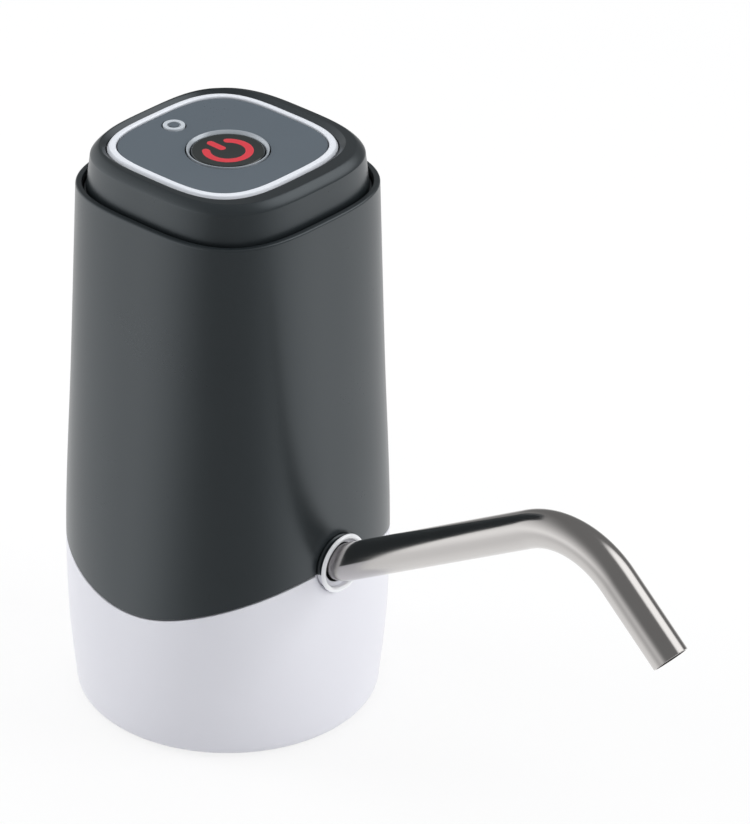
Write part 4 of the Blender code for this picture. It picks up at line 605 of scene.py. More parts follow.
@dataclass(frozen=True)
class Outline:
    """A rounded square: reach is from its middle to a corner, and a squareness of 2 is a circle."""

    reach: float
    squareness: float = 2.0
    setback: float = 0.0

    def radius(self, angle: float) -> float:
        """Find how far the outline is from its middle.

        Args:
            angle: The direction, in radians from X.

        Returns:
            The distance.
        """
        half_width = self.reach / 2 ** (0.5 - 1 / self.squareness)
        spread = abs(math.cos(angle)) ** self.squareness + abs(math.sin(angle)) ** self.squareness
        return half_width / spread ** (1 / self.squareness)

    def at(self, height: float) -> Ring:
        """Lay the outline out level.

        Args:
            height: The height it lies at.

        Returns:
            The outline as a ring.
        """

        def place(angle: float) -> Vector:
            """The point of the ring at an angle."""
            reach = self.radius(angle)
            return Vector((reach * math.cos(angle) - self.setback, reach * math.sin(angle), height))

        return place


def through(stations: Iterable[tuple[float, float]], place: float) -> float:
    """Follow a smooth curve through stations.

    Args:
        stations: Pairs of a place and a value, in order.
        place: Where the value is wanted.

    Returns:
        The value there.
    """
    stations = list(stations)
    last = len(stations) - 2
    index = 0
    while index < last and place > stations[index + 1][0]:
        index += 1
    slopes = []
    for i in (index, index + 1):
        before = stations[max(i - 1, 0)]
        after = stations[min(i + 1, len(stations) - 1)]
        slopes.append((after[1] - before[1]) / (after[0] - before[0]))
    start, end = stations[index], stations[index + 1]
    span = end[0] - start[0]
    t = (place - start[0]) / span
    rise = (1 + 2 * t) * (1 - t) ** 2 * start[1] + t * t * (3 - 2 * t) * end[1]
    return rise + span * (t * (1 - t) ** 2 * slopes[0] - t * t * (1 - t) * slopes[1])


@dataclass(frozen=True)
class BodyShape:
    """The skin of the body: a circle at the foot that turns into a rounded square at the rim."""

    top: float = 129.5 * MM
    shares: tuple[float, ...] = (0.0, 0.155, 0.35, 0.66, 1.0)
    reaches: tuple[float, ...] = (34.75 * MM, 36.6 * MM, 36.95 * MM, 35.3 * MM, 33.7 * MM)
    squarenesses: tuple[float, ...] = (2.0, 2.25, 2.6, 2.9, 3.2)
    joint_middle: float = 39.5 * MM
    joint_wave: float = 5.7 * MM
    joint_flattening: float = 0.8 * MM
    inside: float = 0.02 * MM

    def radius(self, angle: float, height: float) -> float:
        """Find how far the skin is from the axis, a hair inside the solid's.

        Args:
            angle: The direction, in radians from X.
            height: The height above the foot.

        Returns:
            The distance.
        """
        heights = [share * self.top for share in self.shares]
        reach = through(zip(heights, self.reaches), height)
        squareness = through(zip(heights, self.squarenesses), height)
        return Outline(reach, squareness).radius(angle) - self.inside

    def half_width(self, height: float) -> float:
        """Distance from the axis to the middle of a face."""
        return self.radius(0.0, height)

    def joint(self, angle: float) -> float:
        """Height of the wavy joint between the base and the sleeve."""
        wave = self.joint_wave * math.cos(2 * angle)
        return self.joint_middle + wave - self.joint_flattening * math.cos(4 * angle)

    def ring(self, level: float | Level, inset: float = 0.0) -> Ring:
        """A ring on the skin.

        Args:
            level: Its height, or its height at each angle.
            inset: How far inside the skin it lies.

        Returns:
            The ring.
        """

        def place(angle: float) -> Vector:
            """Find a point of the ring.

            Args:
                angle: Its direction.

            Returns:
                The point.
            """
            height = level(angle) if callable(level) else level
            radius = self.radius(angle, height) - inset
            return Vector((radius * math.cos(angle), radius * math.sin(angle), height))

        return place


def quarter_turns(steps: int, first: int = 0) -> list[float]:
    """Angles that divide a quarter turn evenly, from a first step up to its end."""
    return [math.pi / 2 * step / steps for step in range(first, steps + 1)]


def rounded_edge(
    side: float, top: float, width: float, depth: float, steps: int, flatness: float = 1.0
) -> list[tuple[float, float]]:
    """Lay points round a top edge.

    Args:
        side: How far out the side is.
        top: The height of the top.
        width: How far in the rounding reaches.
        depth: How far down it reaches.
        steps: How many steps the quarter turn takes.
        flatness: 1 for an ellipse, and more for a flatter slope between tighter ends.

    Returns:
        Pairs of a distance and a height, from the side up to the top.
    """
    points = []
    for turn in quarter_turns(steps):
        inward = width * (1 - max(math.cos(turn), 0.0) ** flatness)
        down = depth * (1 - math.sin(turn) ** flatness)
        points.append((side - inward, top - down))
    return points


def around_x(radius: float, distance: float, height: float) -> Ring:
    """A circle that faces along X, at a distance from the axis and a height."""
    return lambda angle: Vector((distance, radius * math.cos(angle), height + radius * math.sin(angle)))


def turned(outline: Iterable[tuple[float, float]]) -> list[Ring]:
    """Upright round rings, from pairs of a radius and a height."""
    return [Outline(radius).at(height) for radius, height in outline]


def turned_level(outline: Iterable[tuple[float, float]], height: float) -> list[Ring]:
    """Round rings that face along X, from pairs of a radius and a distance from the axis."""
    return [around_x(radius, distance, height) for radius, distance in outline]


# Modelling tools


def start_afresh() -> None:
    """Leave edit mode and deselect everything."""
    if bpy.context.mode != "OBJECT":
        bpy.ops.object.mode_set(mode="OBJECT")
    bpy.ops.object.select_all(action="DESELECT")


def make_active(piece: bpy.types.Object) -> None:
    """Select one piece alone.

    Args:
        piece: The piece.
    """
    start_afresh()
    piece.select_set(True)
    bpy.context.view_layer.objects.active = piece


def apply_modifier(piece: bpy.types.Object, kind: str, **settings: object) -> None:
    """Add a modifier and apply it.

    Args:
        piece: The piece that it changes.
        kind: Blender's type of the modifier.
        **settings: Its settings.
    """
    make_active(piece)
    modifier = piece.modifiers.new(kind.title(), kind)
    for key, value in settings.items():
        setattr(modifier, key, value)
    bpy.ops.object.modifier_apply(modifier=modifier.name)


def select_in_edit(piece: bpy.types.Object, kind: str, wanted: Callable[[object], bool]) -> None:
    """Select the vertices, edges or faces that pass a test, in edit mode.

    Args:
        piece: The piece that is being edited.
        kind: "verts", "edges" or "faces".
        wanted: The test.
    """
    modes = {"verts": "VERT", "edges": "EDGE", "faces": "FACE"}
    bpy.ops.mesh.select_mode(type=modes[kind])
    bpy.ops.mesh.select_all(action="DESELECT")
    shape = bmesh.from_edit_mesh(piece.data)
    for element in getattr(shape, kind):
        if wanted(element):
            element.select_set(True)
    shape.select_flush_mode()
    bmesh.update_edit_mesh(piece.data)


def cut(piece: bpy.types.Object, cutter: bpy.types.Object, operation: str = "DIFFERENCE") -> None:
    """Cut one piece with another, or join it on, and remove the second."""
    apply_modifier(piece, "BOOLEAN", object=cutter, operation=operation, solver="EXACT")
    bpy.data.objects.remove(cutter, do_unlink=True)


@dataclass(frozen=True)
class EdgeRound:
    """How edges are rounded: how wide, in how many faces, and from how sharp a turn in degrees."""

    width: float
    segments: int = 3
    degrees: float = 32.0


def soften(piece: bpy.types.Object, edge: EdgeRound) -> None:
    """Round the sharp edges of a piece.

    Args:
        piece: The piece.
        edge: How they are rounded.
    """
    apply_modifier(
        piece,
        "BEVEL",
        width=edge.width,
        segments=edge.segments,
        limit_method="ANGLE",
        angle_limit=math.radians(edge.degrees),
        miter_outer="MITER_ARC",
    )


def smooth(piece: bpy.types.Object, degrees: float = 36.0) -> None:
    """Shade a piece smooth, with its flat faces left flat and its sharp edges sharp.

    Args:
        piece: The piece.
        degrees: Edges that turn by more than this stay sharp.
    """
    make_active(piece)
    bpy.ops.object.shade_smooth_by_angle(angle=math.radians(degrees))
    apply_modifier(piece, "WEIGHTED_NORMAL", keep_sharp=True)


class RingModel:
    """A shape drawn up ring by ring from a circle, as on a lathe with a shaped outline."""

    def __init__(self, name: str, first: Ring, axis: Vector, steps: int) -> None:
        """Start with one ring.

        Args:
            name: The piece's name.
            first: The first ring.
            axis: Where the rings' axis stands.
            steps: How many points each ring has.
        """
        start_afresh()
        bpy.ops.mesh.primitive_circle_add(vertices=steps, radius=first(0.0).length)
        self.piece = bpy.context.object
        self.piece.name = name
        self.first = first
        self.axis = axis
        self.steps = steps
        layer = self.piece.data.attributes.new(STEP_LAYER, "INT", "POINT")
        layer.data.foreach_set("value", range(steps))
        bpy.ops.object.mode_set(mode="EDIT")
        bpy.ops.mesh.select_all(action="SELECT")
        self._settle(first)

    def _settle(self, ring: Ring) -> None:
        """Put the selected ring in its place.

        Args:
            ring: Where its points go.
        """
        shape = bmesh.from_edit_mesh(self.piece.data)
        layer = shape.verts.layers.int[STEP_LAYER]
        for vertex in shape.verts:
            if vertex.select:
                vertex.co = self.axis + ring(FULL_TURN * vertex[layer] / self.steps)
        bmesh.update_edit_mesh(self.piece.data)

    def draw(self, *rings: Ring) -> "RingModel":
        """Extrude one ring after another.

        Args:
            *rings: The rings, in order.

        Returns:
            This model.
        """
        for ring in rings:
            bpy.ops.mesh.extrude_region_move(TRANSFORM_OT_translate={"value": (0, 0, 0)})
            self._settle(ring)
        return self

    def pole(self, ring: Ring) -> "RingModel":
        """Extrude once more and draw the ring together into one point.

        Args:
            ring: The last ring.

        Returns:
            This model.
        """
        self.draw(ring)
        bpy.ops.mesh.merge(type="CENTER")
        return self

    def plug_start(self) -> "RingModel":
        """Close the first ring with a face.

        Returns:
            This model.
        """
        first = [self.axis + self.first(FULL_TURN * step / self.steps) for step in range(self.steps)]
        middle = sum(first, Vector()) / len(first)
        reach = max((point - middle).length for point in first) + MERGE_DISTANCE
        select_in_edit(
            self.piece,
            "edges",
            lambda edge: edge.is_boundary and all((v.co - middle).length < reach for v in edge.verts),
        )
        bpy.ops.mesh.edge_face_add()
        return self

    def close(self) -> "RingModel":
        """Draw the last ring back onto the first, for a shape with a hole through it."""
        self.draw(self.first)
        return self

    def done(self) -> bpy.types.Object:
        """Merge the seams, turn the faces outwards and leave edit mode.

        Returns:
            The finished shape.
        """
        bpy.ops.mesh.select_mode(type="VERT")
        bpy.ops.mesh.select_all(action="SELECT")
        bpy.ops.mesh.remove_doubles(threshold=MERGE_DISTANCE)
        bpy.ops.mesh.normals_make_consistent(inside=False)
        bpy.ops.object.mode_set(mode="OBJECT")
        data = self.piece.data
        data.attributes.remove(data.attributes[STEP_LAYER])
        return self.piece


def draw_capped(name: str, rings: list[Ring], axis: Vector, steps: int = RING_STEPS) -> bpy.types.Object:
    """Draw rings up into a shape that is closed at both ends.

    Args:
        name: The shape's name.
        rings: Its rings, from one end to the other.
        axis: Where the rings' axis stands.
        steps: How many points each ring has.

    Returns:
        The finished shape.
    """
    model = RingModel(name, rings[0], axis, steps)
    return model.draw(*rings[1:]).pole(rings[-1]).plug_start().done()


def draw_pierced(name: str, rings: list[Ring], axis: Vector, steps: int = RING_STEPS) -> bpy.types.Object:
    """Draw rings up and back onto the first, into a shape with a hole through it.

    Args:
        name: The shape's name.
        rings: Its rings, all the way round the wall.
        axis: Where the rings' axis stands.
        steps: How many points each ring has.

    Returns:
        The finished shape.
    """
    model = RingModel(name, rings[0], axis, steps)
    return model.draw(*rings[1:]).close().done()


# Sub-assemblies


@dataclass
class SubAssembly:
    """A group of pieces that share the body's axis and the shelf of finishes."""

    axis: Vector
    shelf: FinishShelf

    def keep(
        self,
        piece: bpy.types.Object,
        look: Look,
        body: str,
        node: str | None = None,
        finish: bpy.types.Material | None = None,
    ) -> None:
        """Dress a finished piece and put it on its body.

        Args:
            piece: The piece.
            look: Its finish.
            body: The body that it moves with.
            node: The solid that it stands for, if there is one.
            finish: A material of its own, if the look's isn't meant.
        """
        smooth(piece)
        self.shelf.dress(piece, look)
        if finish is not None:
            piece.data.materials[0] = finish
        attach(piece, body)
        if node is not None:
            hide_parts(node)
        LOG.info("%s: %d faces, on %s", piece.name, len(piece.data.polygons), body)


@dataclass
class Shell(SubAssembly):
    """The white base with its neck socket, and the dark sleeve above the wavy joint."""

    body: BodyShape = field(default_factory=BodyShape)
    steps: int = 192
    foot_fillet: float = 2.5 * MM
    foot_web: float = 2.5 * MM
    base_wall: float = 2.2 * MM
    ledge_inset: float = 1.9 * MM
    tongue_wall: float = 1.3 * MM
    tongue_height: float = 3.0 * MM
    tongue_root: float = 2.5 * MM
    neck_bore: float = 29.1 * MM
    neck_wall: float = 1.6 * MM
    neck_depth: float = 30.0 * MM
    neck_chamfer: float = 0.9 * MM
    ceiling: float = 2.5 * MM
    fitting_hole: float = 5.3 * MM
    joint_gap: float = SEAT_GAP
    sleeve_wall: float = 1.6 * MM
    rim_round: float = 0.5 * MM
    socket_height: float = SPOUT_HEIGHT
    socket_hole: float = 6.65 * MM
    socket_recess: float = 7.2 * MM
    socket_seat: float = SPOUT_SEAT
    port_height: float = PORT_HEIGHT
    port_width: float = 9.6 * MM
    port_rise: float = 3.9 * MM
    port_flare: float = 0.35 * MM
    port_steps: int = 64
    base_edge: EdgeRound = EdgeRound(0.28 * MM)
    sleeve_edge: EdgeRound = EdgeRound(0.14 * MM, 2)

    def build(self) -> None:
        """Model and dress the base and the sleeve."""
        self.build_base()
        self.build_sleeve()

    def build_base(self) -> None:
        """The base: outer wall, ledge and tongue at the joint, and the neck socket inside."""
        body = self.body
        fillet_steps = 10
        wall_rows = 16
        rings = [
            body.ring(self.foot_fillet * (1 - math.cos(turn)), self.foot_fillet * (1 - math.sin(turn)))
            for turn in quarter_turns(fillet_steps)
        ]
        for row in range(1, wall_rows + 1):
            share = row / wall_rows
            rings.append(body.ring(self.between(self.foot_fillet, share)))
        tongue = self.ledge_inset + self.tongue_wall
        slope = tongue - self.base_wall
        rings += [
            body.ring(self.over_joint(0.0), self.ledge_inset),
            body.ring(self.over_joint(self.tongue_height), self.ledge_inset),
            body.ring(self.over_joint(self.tongue_height), tongue),
            body.ring(self.over_joint(-self.tongue_root), tongue),
            body.ring(self.over_joint(-self.tongue_root - slope), self.base_wall),
            body.ring(self.foot_web, self.base_wall),
        ]
        outer_neck = Outline(self.neck_bore + self.neck_wall)
        hole = Outline(self.fitting_hole)
        bore = Outline(self.neck_bore)
        rings += [
            outer_neck.at(self.foot_web),
            outer_neck.at(self.neck_depth + self.ceiling),
            hole.at(self.neck_depth + self.ceiling),
            hole.at(self.neck_depth),
            bore.at(self.neck_depth),
            bore.at(self.neck_chamfer),
            Outline(self.neck_bore + self.neck_chamfer).at(0.0),
        ]
        piece = draw_pierced("base_shell", rings, self.axis, self.steps)
        soften(piece, self.base_edge)
        cut(piece, self.socket_cutter())
        self.keep(piece, Look.WHITE_PLASTIC, "body", "base_housing")

    def between(self, low: float, share: float) -> Level:
        """A level part of the way from a height up to the joint."""
        return lambda angle: low + (self.body.joint(angle) - low) * share

    def over_joint(self, rise: float) -> Level:
        """A level that follows the joint at a distance above it."""
        return lambda angle: self.body.joint(angle) + rise

    def sleeve_level(self, share: float) -> Level:
        """A level part of the way from the joint up to the rim."""
        top = self.body.top - self.rim_round
        return lambda angle: (1 - share) * (self.body.joint(angle) + self.joint_gap) + share * top

    def build_sleeve(self) -> None:
        """The sleeve: a thin wall with a rounded rim, the spout's hole and the port's slot."""
        body = self.body
        outer_rows = 30
        inner_rows = 10
        rings = [body.ring(self.sleeve_level(row / outer_rows)) for row in range(outer_rows + 1)]
        rim_rows = 5
        for turn in quarter_turns(rim_rows, 1):
            height = body.top - self.rim_round * (1 - math.sin(turn))
            rings.append(body.ring(height, self.rim_round * (1 - math.cos(turn))))
        rings.append(body.ring(body.top, self.sleeve_wall - self.rim_round / 2))
        for row in range(inner_rows + 1):
            rings.append(body.ring(self.sleeve_level(1 - row / inner_rows), self.sleeve_wall))
        piece = draw_pierced("sleeve_shell", rings, self.axis, self.steps)
        soften(piece, self.sleeve_edge)
        cut(piece, self.socket_cutter())
        cut(piece, self.port_cutter())
        self.keep(piece, Look.DARK_PLASTIC, "body", "upper_sleeve")

    def socket_cutter(self) -> bpy.types.Object:
        """Make the stepped cutter for the spout's hole and the shallow seat of its flange.

        Returns:
            The cutter.
        """
        face = self.body.half_width(self.socket_height)
        seat = face - self.socket_seat
        outline = [
            (self.socket_recess, face + 2 * self.socket_recess),
            (self.socket_recess, seat),
            (self.socket_hole, seat),
            (self.socket_hole, face - 2 * self.socket_recess),
        ]
        return draw_capped("socket_cutter", turned_level(outline, self.socket_height), self.axis)

    def port_cutter(self) -> bpy.types.Object:
        """Make the long round-ended cutter for the port's slot, flared where it meets the skin.

        Returns:
            The cutter.
        """
        face = -self.body.half_width(self.port_height)
        flare = self.port_flare
        places = [
            (face - self.port_rise, flare),
            (face, flare),
            (face + flare, 0.0),
            (face + self.port_rise, 0.0),
        ]
        rings = [
            slot_ring(self.port_width, self.port_rise, grow, place, self.port_height)
            for place, grow in places
        ]
        return draw_capped("port_cutter", rings, self.axis, self.port_steps)


def slot_ring(width: float, rise: float, grow: float, distance: float, height: float) -> Ring:
    """A long round-ended ring that faces along X.

    Args:
        width: Its whole width.
        rise: Its whole height.
        grow: How much larger it is all round.
        distance: Where it lies along X.
        height: The height of its middle.

    Returns:
        The ring.
    """
    radius = rise / 2 + grow
    shift = (width - rise) / 2

    def place(angle: float) -> Vector:
        """Find a point of the ring.

        Args:
            angle: Its direction.

        Returns:
            The point.
        """
        side = 1 if math.cos(angle) >= 0 else -1
        across = side * shift + radius * math.cos(angle)
        return Vector((distance, across, height + radius * math.sin(angle)))

    return place


@dataclass
class Crown(SubAssembly):
    """The cap with its recess, the bright ring, the dished panel and the button's bezel."""

    body: BodyShape = field(default_factory=BodyShape)
    steps: int = 192
    top: float = 138.0 * MM
    wall: float = 1.5 * MM
    squareness: float = 3.25
    side_reach: float = 31.4 * MM
    lip_reach: float = 30.4 * MM
    edge_width: float = 2.1 * MM
    edge_depth: float = 2.0 * MM
    edge_flatness: float = 1.55
    edge_steps: int = 12
    skirt_inset: float = 1.9 * MM
    skirt_bottom: float = 124.5 * MM
    shoulder: float = 127.8 * MM
    recess_floor: float = 134.9 * MM
    underside: float = 133.2 * MM
    setback: float = 1.6 * MM
    panel_squareness: float = 3.5
    ring_reach: float = 25.5 * MM
    ring_width: float = 2.0 * MM
    ring_gap: float = SEAT_GAP
    flank_depth: float = 1.1 * MM
    slope_width: float = 1.35 * MM
    panel_bottom: float = PANEL_BOTTOM
    panel_edge: float = PANEL_EDGE
    panel_middle: float = 136.84 * MM
    stem_hole: float = 2.5 * MM
    pipe_hole: float = 1.8 * MM
    lens_hole: float = 2.8 * MM
    light_setback: float = LIGHT_SETBACK
    light_steps: int = 64
    bezel_radius: float = 9.2 * MM
    bezel_width: float = 0.7 * MM
    bezel_steps: int = 128
    cap_edge: EdgeRound = EdgeRound(0.3 * MM, degrees=38.0)
    ring_edge: EdgeRound = EdgeRound(0.12 * MM, degrees=20.0)
    dish_edge: EdgeRound = EdgeRound(0.1 * MM)
    bezel_edge: EdgeRound = EdgeRound(0.06 * MM, degrees=25.0)

    def build(self) -> None:
        """Model and dress the cap, the ring, the panel and the bezel."""
        self.build_cap()
        self.build_ring()
        self.build_panel()
        self.build_bezel()

    def build_cap(self) -> None:
        """The cap: a skirt inside the sleeve, a lip, and the recess that holds the panel."""
        body = self.body
        floor = self.ring_reach + self.ring_gap
        rings = [
            body.ring(self.skirt_bottom, self.skirt_inset),
            body.ring(self.shoulder, self.skirt_inset),
            Outline(self.side_reach, self.squareness).at(self.shoulder),
        ]
        lip = rounded_edge(
            self.lip_reach, self.top, self.edge_width, self.edge_depth, self.edge_steps, self.edge_flatness
        )
        for reach, height in lip:
            rings.append(Outline(reach, self.squareness).at(height))
        recess = [
            (floor + self.slope_width, self.top),
            (floor, self.top - self.flank_depth),
            (floor, self.recess_floor),
        ]
        for reach, height in recess:
            rings.append(Outline(reach, self.panel_squareness, self.setback).at(height))
        hole = Outline(self.stem_hole)
        rings += [
            hole.at(self.recess_floor),
            hole.at(self.underside),
            Outline(self.lip_reach - self.wall, self.squareness).at(self.underside),
            Outline(self.side_reach - self.wall, self.squareness).at(self.shoulder),
            body.ring(self.shoulder - self.wall, self.skirt_inset + self.wall),
            body.ring(self.skirt_bottom, self.skirt_inset + self.wall),
        ]
        piece = draw_pierced("cap_moulding", rings, self.axis, self.steps)
        soften(piece, self.cap_edge)
        cut(piece, self.round_cutter(self.pipe_hole))
        self.keep(piece, Look.DARK_PLASTIC, "body", "top_cap")

    def round_cutter(self, radius: float) -> bpy.types.Object:
        """Make an upright round cutter through the cap and the panel, where the light is.

        Args:
            radius: The radius of the hole.

        Returns:
            The cutter.
        """
        spot = self.axis + Vector((-self.light_setback, 0, 0))
        outline = [(radius, self.shoulder + self.wall), (radius, self.top + self.wall)]
        return draw_capped("light_cutter", turned(outline), spot, self.light_steps)

    def build_ring(self) -> None:
        """The bright ring, with a sloping outer flank and a flat top."""
        high = self.top - self.flank_depth / 5
        inner = self.ring_reach - self.ring_width
        flank = self.ring_width / 4
        outline = [
            (self.ring_reach, self.panel_bottom),
            (self.ring_reach, self.top - self.flank_depth),
            (self.ring_reach - flank, high - flank / 4),
            (self.ring_reach - 2 * flank, high),
            (inner + flank / 2, high),
            (inner, high - flank / 2),
            (inner, self.panel_bottom),
        ]
        rings = [
            Outline(reach, self.panel_squareness, self.setback).at(height) for reach, height in outline
        ]
        piece = draw_pierced("bright_ring", rings, self.axis, self.steps)
        soften(piece, self.ring_edge)
        self.keep(piece, Look.SILVER_TRIM, "body", "trim_ring")

    def build_panel(self) -> None:
        """The panel, dished towards the button, with a hole for the light."""
        reach = self.ring_reach - self.ring_width - self.ring_gap
        edge = Outline(reach, self.panel_squareness, self.setback)
        hole = Outline(self.bezel_radius + self.ring_gap)
        rows = 12
        rings = [edge.at(self.panel_bottom), edge.at(self.panel_edge)]
        rings += [self.dish_ring(edge, hole, row / rows) for row in range(1, rows + 1)]
        rings.append(hole.at(self.panel_bottom))
        piece = draw_pierced("panel_face", rings, self.axis, self.steps)
        soften(piece, self.dish_edge)
        cut(piece, self.round_cutter(self.lens_hole))
        self.keep(piece, Look.PANEL_GREY, "body", "control_panel")

    def dish_ring(self, edge: Outline, hole: Outline, share: float) -> Ring:
        """A ring of the panel's dish, part of the way from its edge to its hole.

        Args:
            edge: The outline of the panel's edge.
            hole: The outline of its hole.
            share: How far the ring is from the edge towards the hole.

        Returns:
            The ring.
        """
        drop = (self.panel_edge - self.panel_middle) * (1 - (1 - share) ** 2)
        outer = edge.at(self.panel_edge - drop)
        inner = hole.at(self.panel_edge - drop)
        return lambda angle: outer(angle).lerp(inner(angle), share)

    def build_bezel(self) -> None:
        """The bezel: a thin bright ring that slopes down to the button."""
        inner = self.bezel_radius - self.bezel_width
        high = self.panel_middle + self.ring_gap
        outline = [
            (self.bezel_radius, self.panel_bottom),
            (inner, self.panel_bottom),
            (inner, high - self.bezel_width),
            (self.bezel_radius - self.bezel_width / 4, high),
            (self.bezel_radius, high),
        ]
        piece = draw_pierced("button_rim", turned(outline), self.axis, self.bezel_steps)
        soften(piece, self.bezel_edge)
        metal = self.shelf.take("bezel_metal", BEZEL_METAL)
        self.keep(piece, Look.SILVER_TRIM, "body", "button_bezel", metal)


@dataclass
class PushButton(SubAssembly):
    """The dished push button, its stem and the power mark printed on it."""

    radius: float = 8.2 * MM
    low: float = 135.55 * MM
    high: float = 136.75 * MM
    dish: float = 0.2 * MM
    corner: float = 0.3 * MM
    steps: int = 128
    cap_edge: EdgeRound = EdgeRound(0.12 * MM)
    stem_radius: float = 2.2 * MM
    stem_bottom: float = 131.3 * MM
    mark_radius: float = 4.8 * MM
    mark_width: float = 1.85 * MM
    mark_thickness: float = 0.12 * MM
    mark_proud: float = 0.05 * MM
    mark_opening: float = math.radians(69)
    mark_steps: int = 12
    bar_start: float = 0.95 * MM
    bar_end: float = 6.1 * MM

    def surface(self, distance: float) -> float:
        """Height of the dished top at a distance from the axis."""
        share = min(distance / self.radius, 1.0)
        return self.high - self.dish * (1 - share * share)

    def build(self) -> None:
        """Model and dress the button and its mark."""
        self.build_button()
        self.build_mark()

    def build_button(self) -> None:
        """The button: a dished disc on a stem that reaches down to the switch."""
        rows = 14
        rim = self.radius - self.corner
        outline = [
            (self.stem_radius, self.stem_bottom),
            (self.stem_radius, self.low),
            (self.radius, self.low),
            (self.radius, self.high - self.corner),
            (rim, self.high),
        ]
        for row in range(1, rows):
            reach = rim * (1 - row / rows)
            outline.append((reach, self.surface(reach)))
        piece = draw_capped("button_cap", turned(outline), self.axis, self.steps)
        soften(piece, self.cap_edge)
        self.keep(piece, Look.BUTTON_GLOSS, "button", "power_button")

    def build_mark(self) -> None:
        """The power mark: an open ring and a bar in its opening, one print on the dish."""
        ring = self.open_ring()
        bar = self.bar()
        start_afresh()
        bar.select_set(True)
        ring.select_set(True)
        bpy.context.view_layer.objects.active = ring
        bpy.ops.object.join()
        ring.name = "power_mark"
        for vertex in ring.data.vertices:
            out = math.hypot(vertex.co.x - self.axis.x, vertex.co.y - self.axis.y)
            vertex.co.z += self.surface(out) + self.mark_proud - self.mark_thickness / 2
        # The mark's ink glows as painted light, so its red holds in shade.
        ink_and_painted_glow = self.shelf.take("mark_ink_painted_glow", MARK_INK_PAINTED_GLOW)
        self.keep(ring, Look.BUTTON_GLOSS, "button", None, ink_and_painted_glow)

    def section(self, middle: Vector, across: Vector, half_width: float) -> Ring:
        """Flat cross-section of a printed stroke, with softened edges.

        Args:
            middle: The middle of the section.
            across: The direction across the stroke.
            half_width: Half its width there.

        Returns:
            The section's outline.
        """

        def place(angle: float) -> Vector:
            """Find a point of the section.

            Args:
                angle: Its direction from the middle.

            Returns:
                The point.
            """
            out = math.copysign(math.sqrt(abs(math.cos(angle))), math.cos(angle)) * half_width
            rise = math.copysign(math.sqrt(abs(math.sin(angle))), math.sin(angle)) * self.mark_thickness / 2
            return middle + across * out + Vector((0, 0, rise))

        return place

    def stroke(self, name: str, length: float, line: Line) -> bpy.types.Object:
        """Draw a printed stroke with round ends.

        Args:
            name: The stroke's name.
            length: Its length from tip to tip.
            line: Gives the middle and the direction across at a distance from the first tip.

        Returns:
            The stroke.
        """
        half = self.mark_width / 2
        tip_rows = 6
        tip = [
            (half * (1 - math.cos(turn)), half * math.sin(turn)) for turn in quarter_turns(tip_rows, 1)
        ]
        straight = length - 2 * half
        count = round(2 * straight / half)
        stations = tip + [(half + straight * step / count, half) for step in range(1, count)]
        stations += [(length - distance, width) for distance, width in reversed(tip)]
        rings = [self.section(*line(distance), width) for distance, width in stations]
        return draw_capped(name, rings, self.axis, self.mark_steps)

    def open_ring(self) -> bpy.types.Object:
        """Draw the open ring of the mark, with its opening away from the spout.

        Returns:
            The ring.
        """
        first = self.mark_opening / 2 - math.pi

        def line(distance: float) -> tuple[Vector, Vector]:
            """Follow the ring.

            Args:
                distance: How far along it.

            Returns:
                The stroke's middle there and the outward direction.
            """
            angle = first + distance / self.mark_radius
            across = Vector((math.cos(angle), math.sin(angle), 0))
            return across * self.mark_radius, across

        return self.stroke("mark_ring", (FULL_TURN - self.mark_opening) * self.mark_radius, line)

    def bar(self) -> bpy.types.Object:
        """Draw the bar of the mark, which stands in the ring's opening.

        Returns:
            The bar.
        """
        across = Vector((0, 1, 0))
        return self.stroke(
            "mark_bar",
            self.bar_end - self.bar_start,
            lambda distance: (Vector((-self.bar_start - distance, 0, 0)), across),
        )


@dataclass
class StatusLight(SubAssembly):
    """The lens in the panel, with its light pipe and its grey core."""

    setback: float = LIGHT_SETBACK
    radius: float = 2.5 * MM
    core_radius: float = 1.5 * MM
    gap: float = SEAT_GAP
    top: float = PANEL_EDGE
    sink: float = 0.625 * MM
    bottom: float = PANEL_BOTTOM
    pipe_radius: float = 1.5 * MM
    pipe_bottom: float = 127.4 * MM
    steps: int = 64
    lens_edge: EdgeRound = EdgeRound(0.18 * MM, 4)
    core_edge: EdgeRound = EdgeRound(0.08 * MM)

    def build(self) -> None:
        """Model and dress the lens and its core."""
        spot = self.axis + Vector((-self.setback, 0, 0))
        outline = [
            (self.pipe_radius, self.pipe_bottom),
            (self.pipe_radius, self.bottom),
            (self.radius, self.bottom),
            (self.radius, self.top),
            (self.core_radius, self.top),
            (self.core_radius, self.top - self.sink),
        ]
        lens = draw_capped("light_ring", turned(outline), spot, self.steps)
        soften(lens, self.lens_edge)
        self.keep(lens, Look.LIGHT_LENS, "body", "status_light")
        inner = self.core_radius - self.gap
        outline = [(inner, self.top - self.sink + self.gap), (inner, self.top)]
        core = draw_capped("light_core", turned(outline), spot, self.steps)
        soften(core, self.core_edge)
        self.keep(core, Look.PANEL_GREY, "body", "status_light_core")


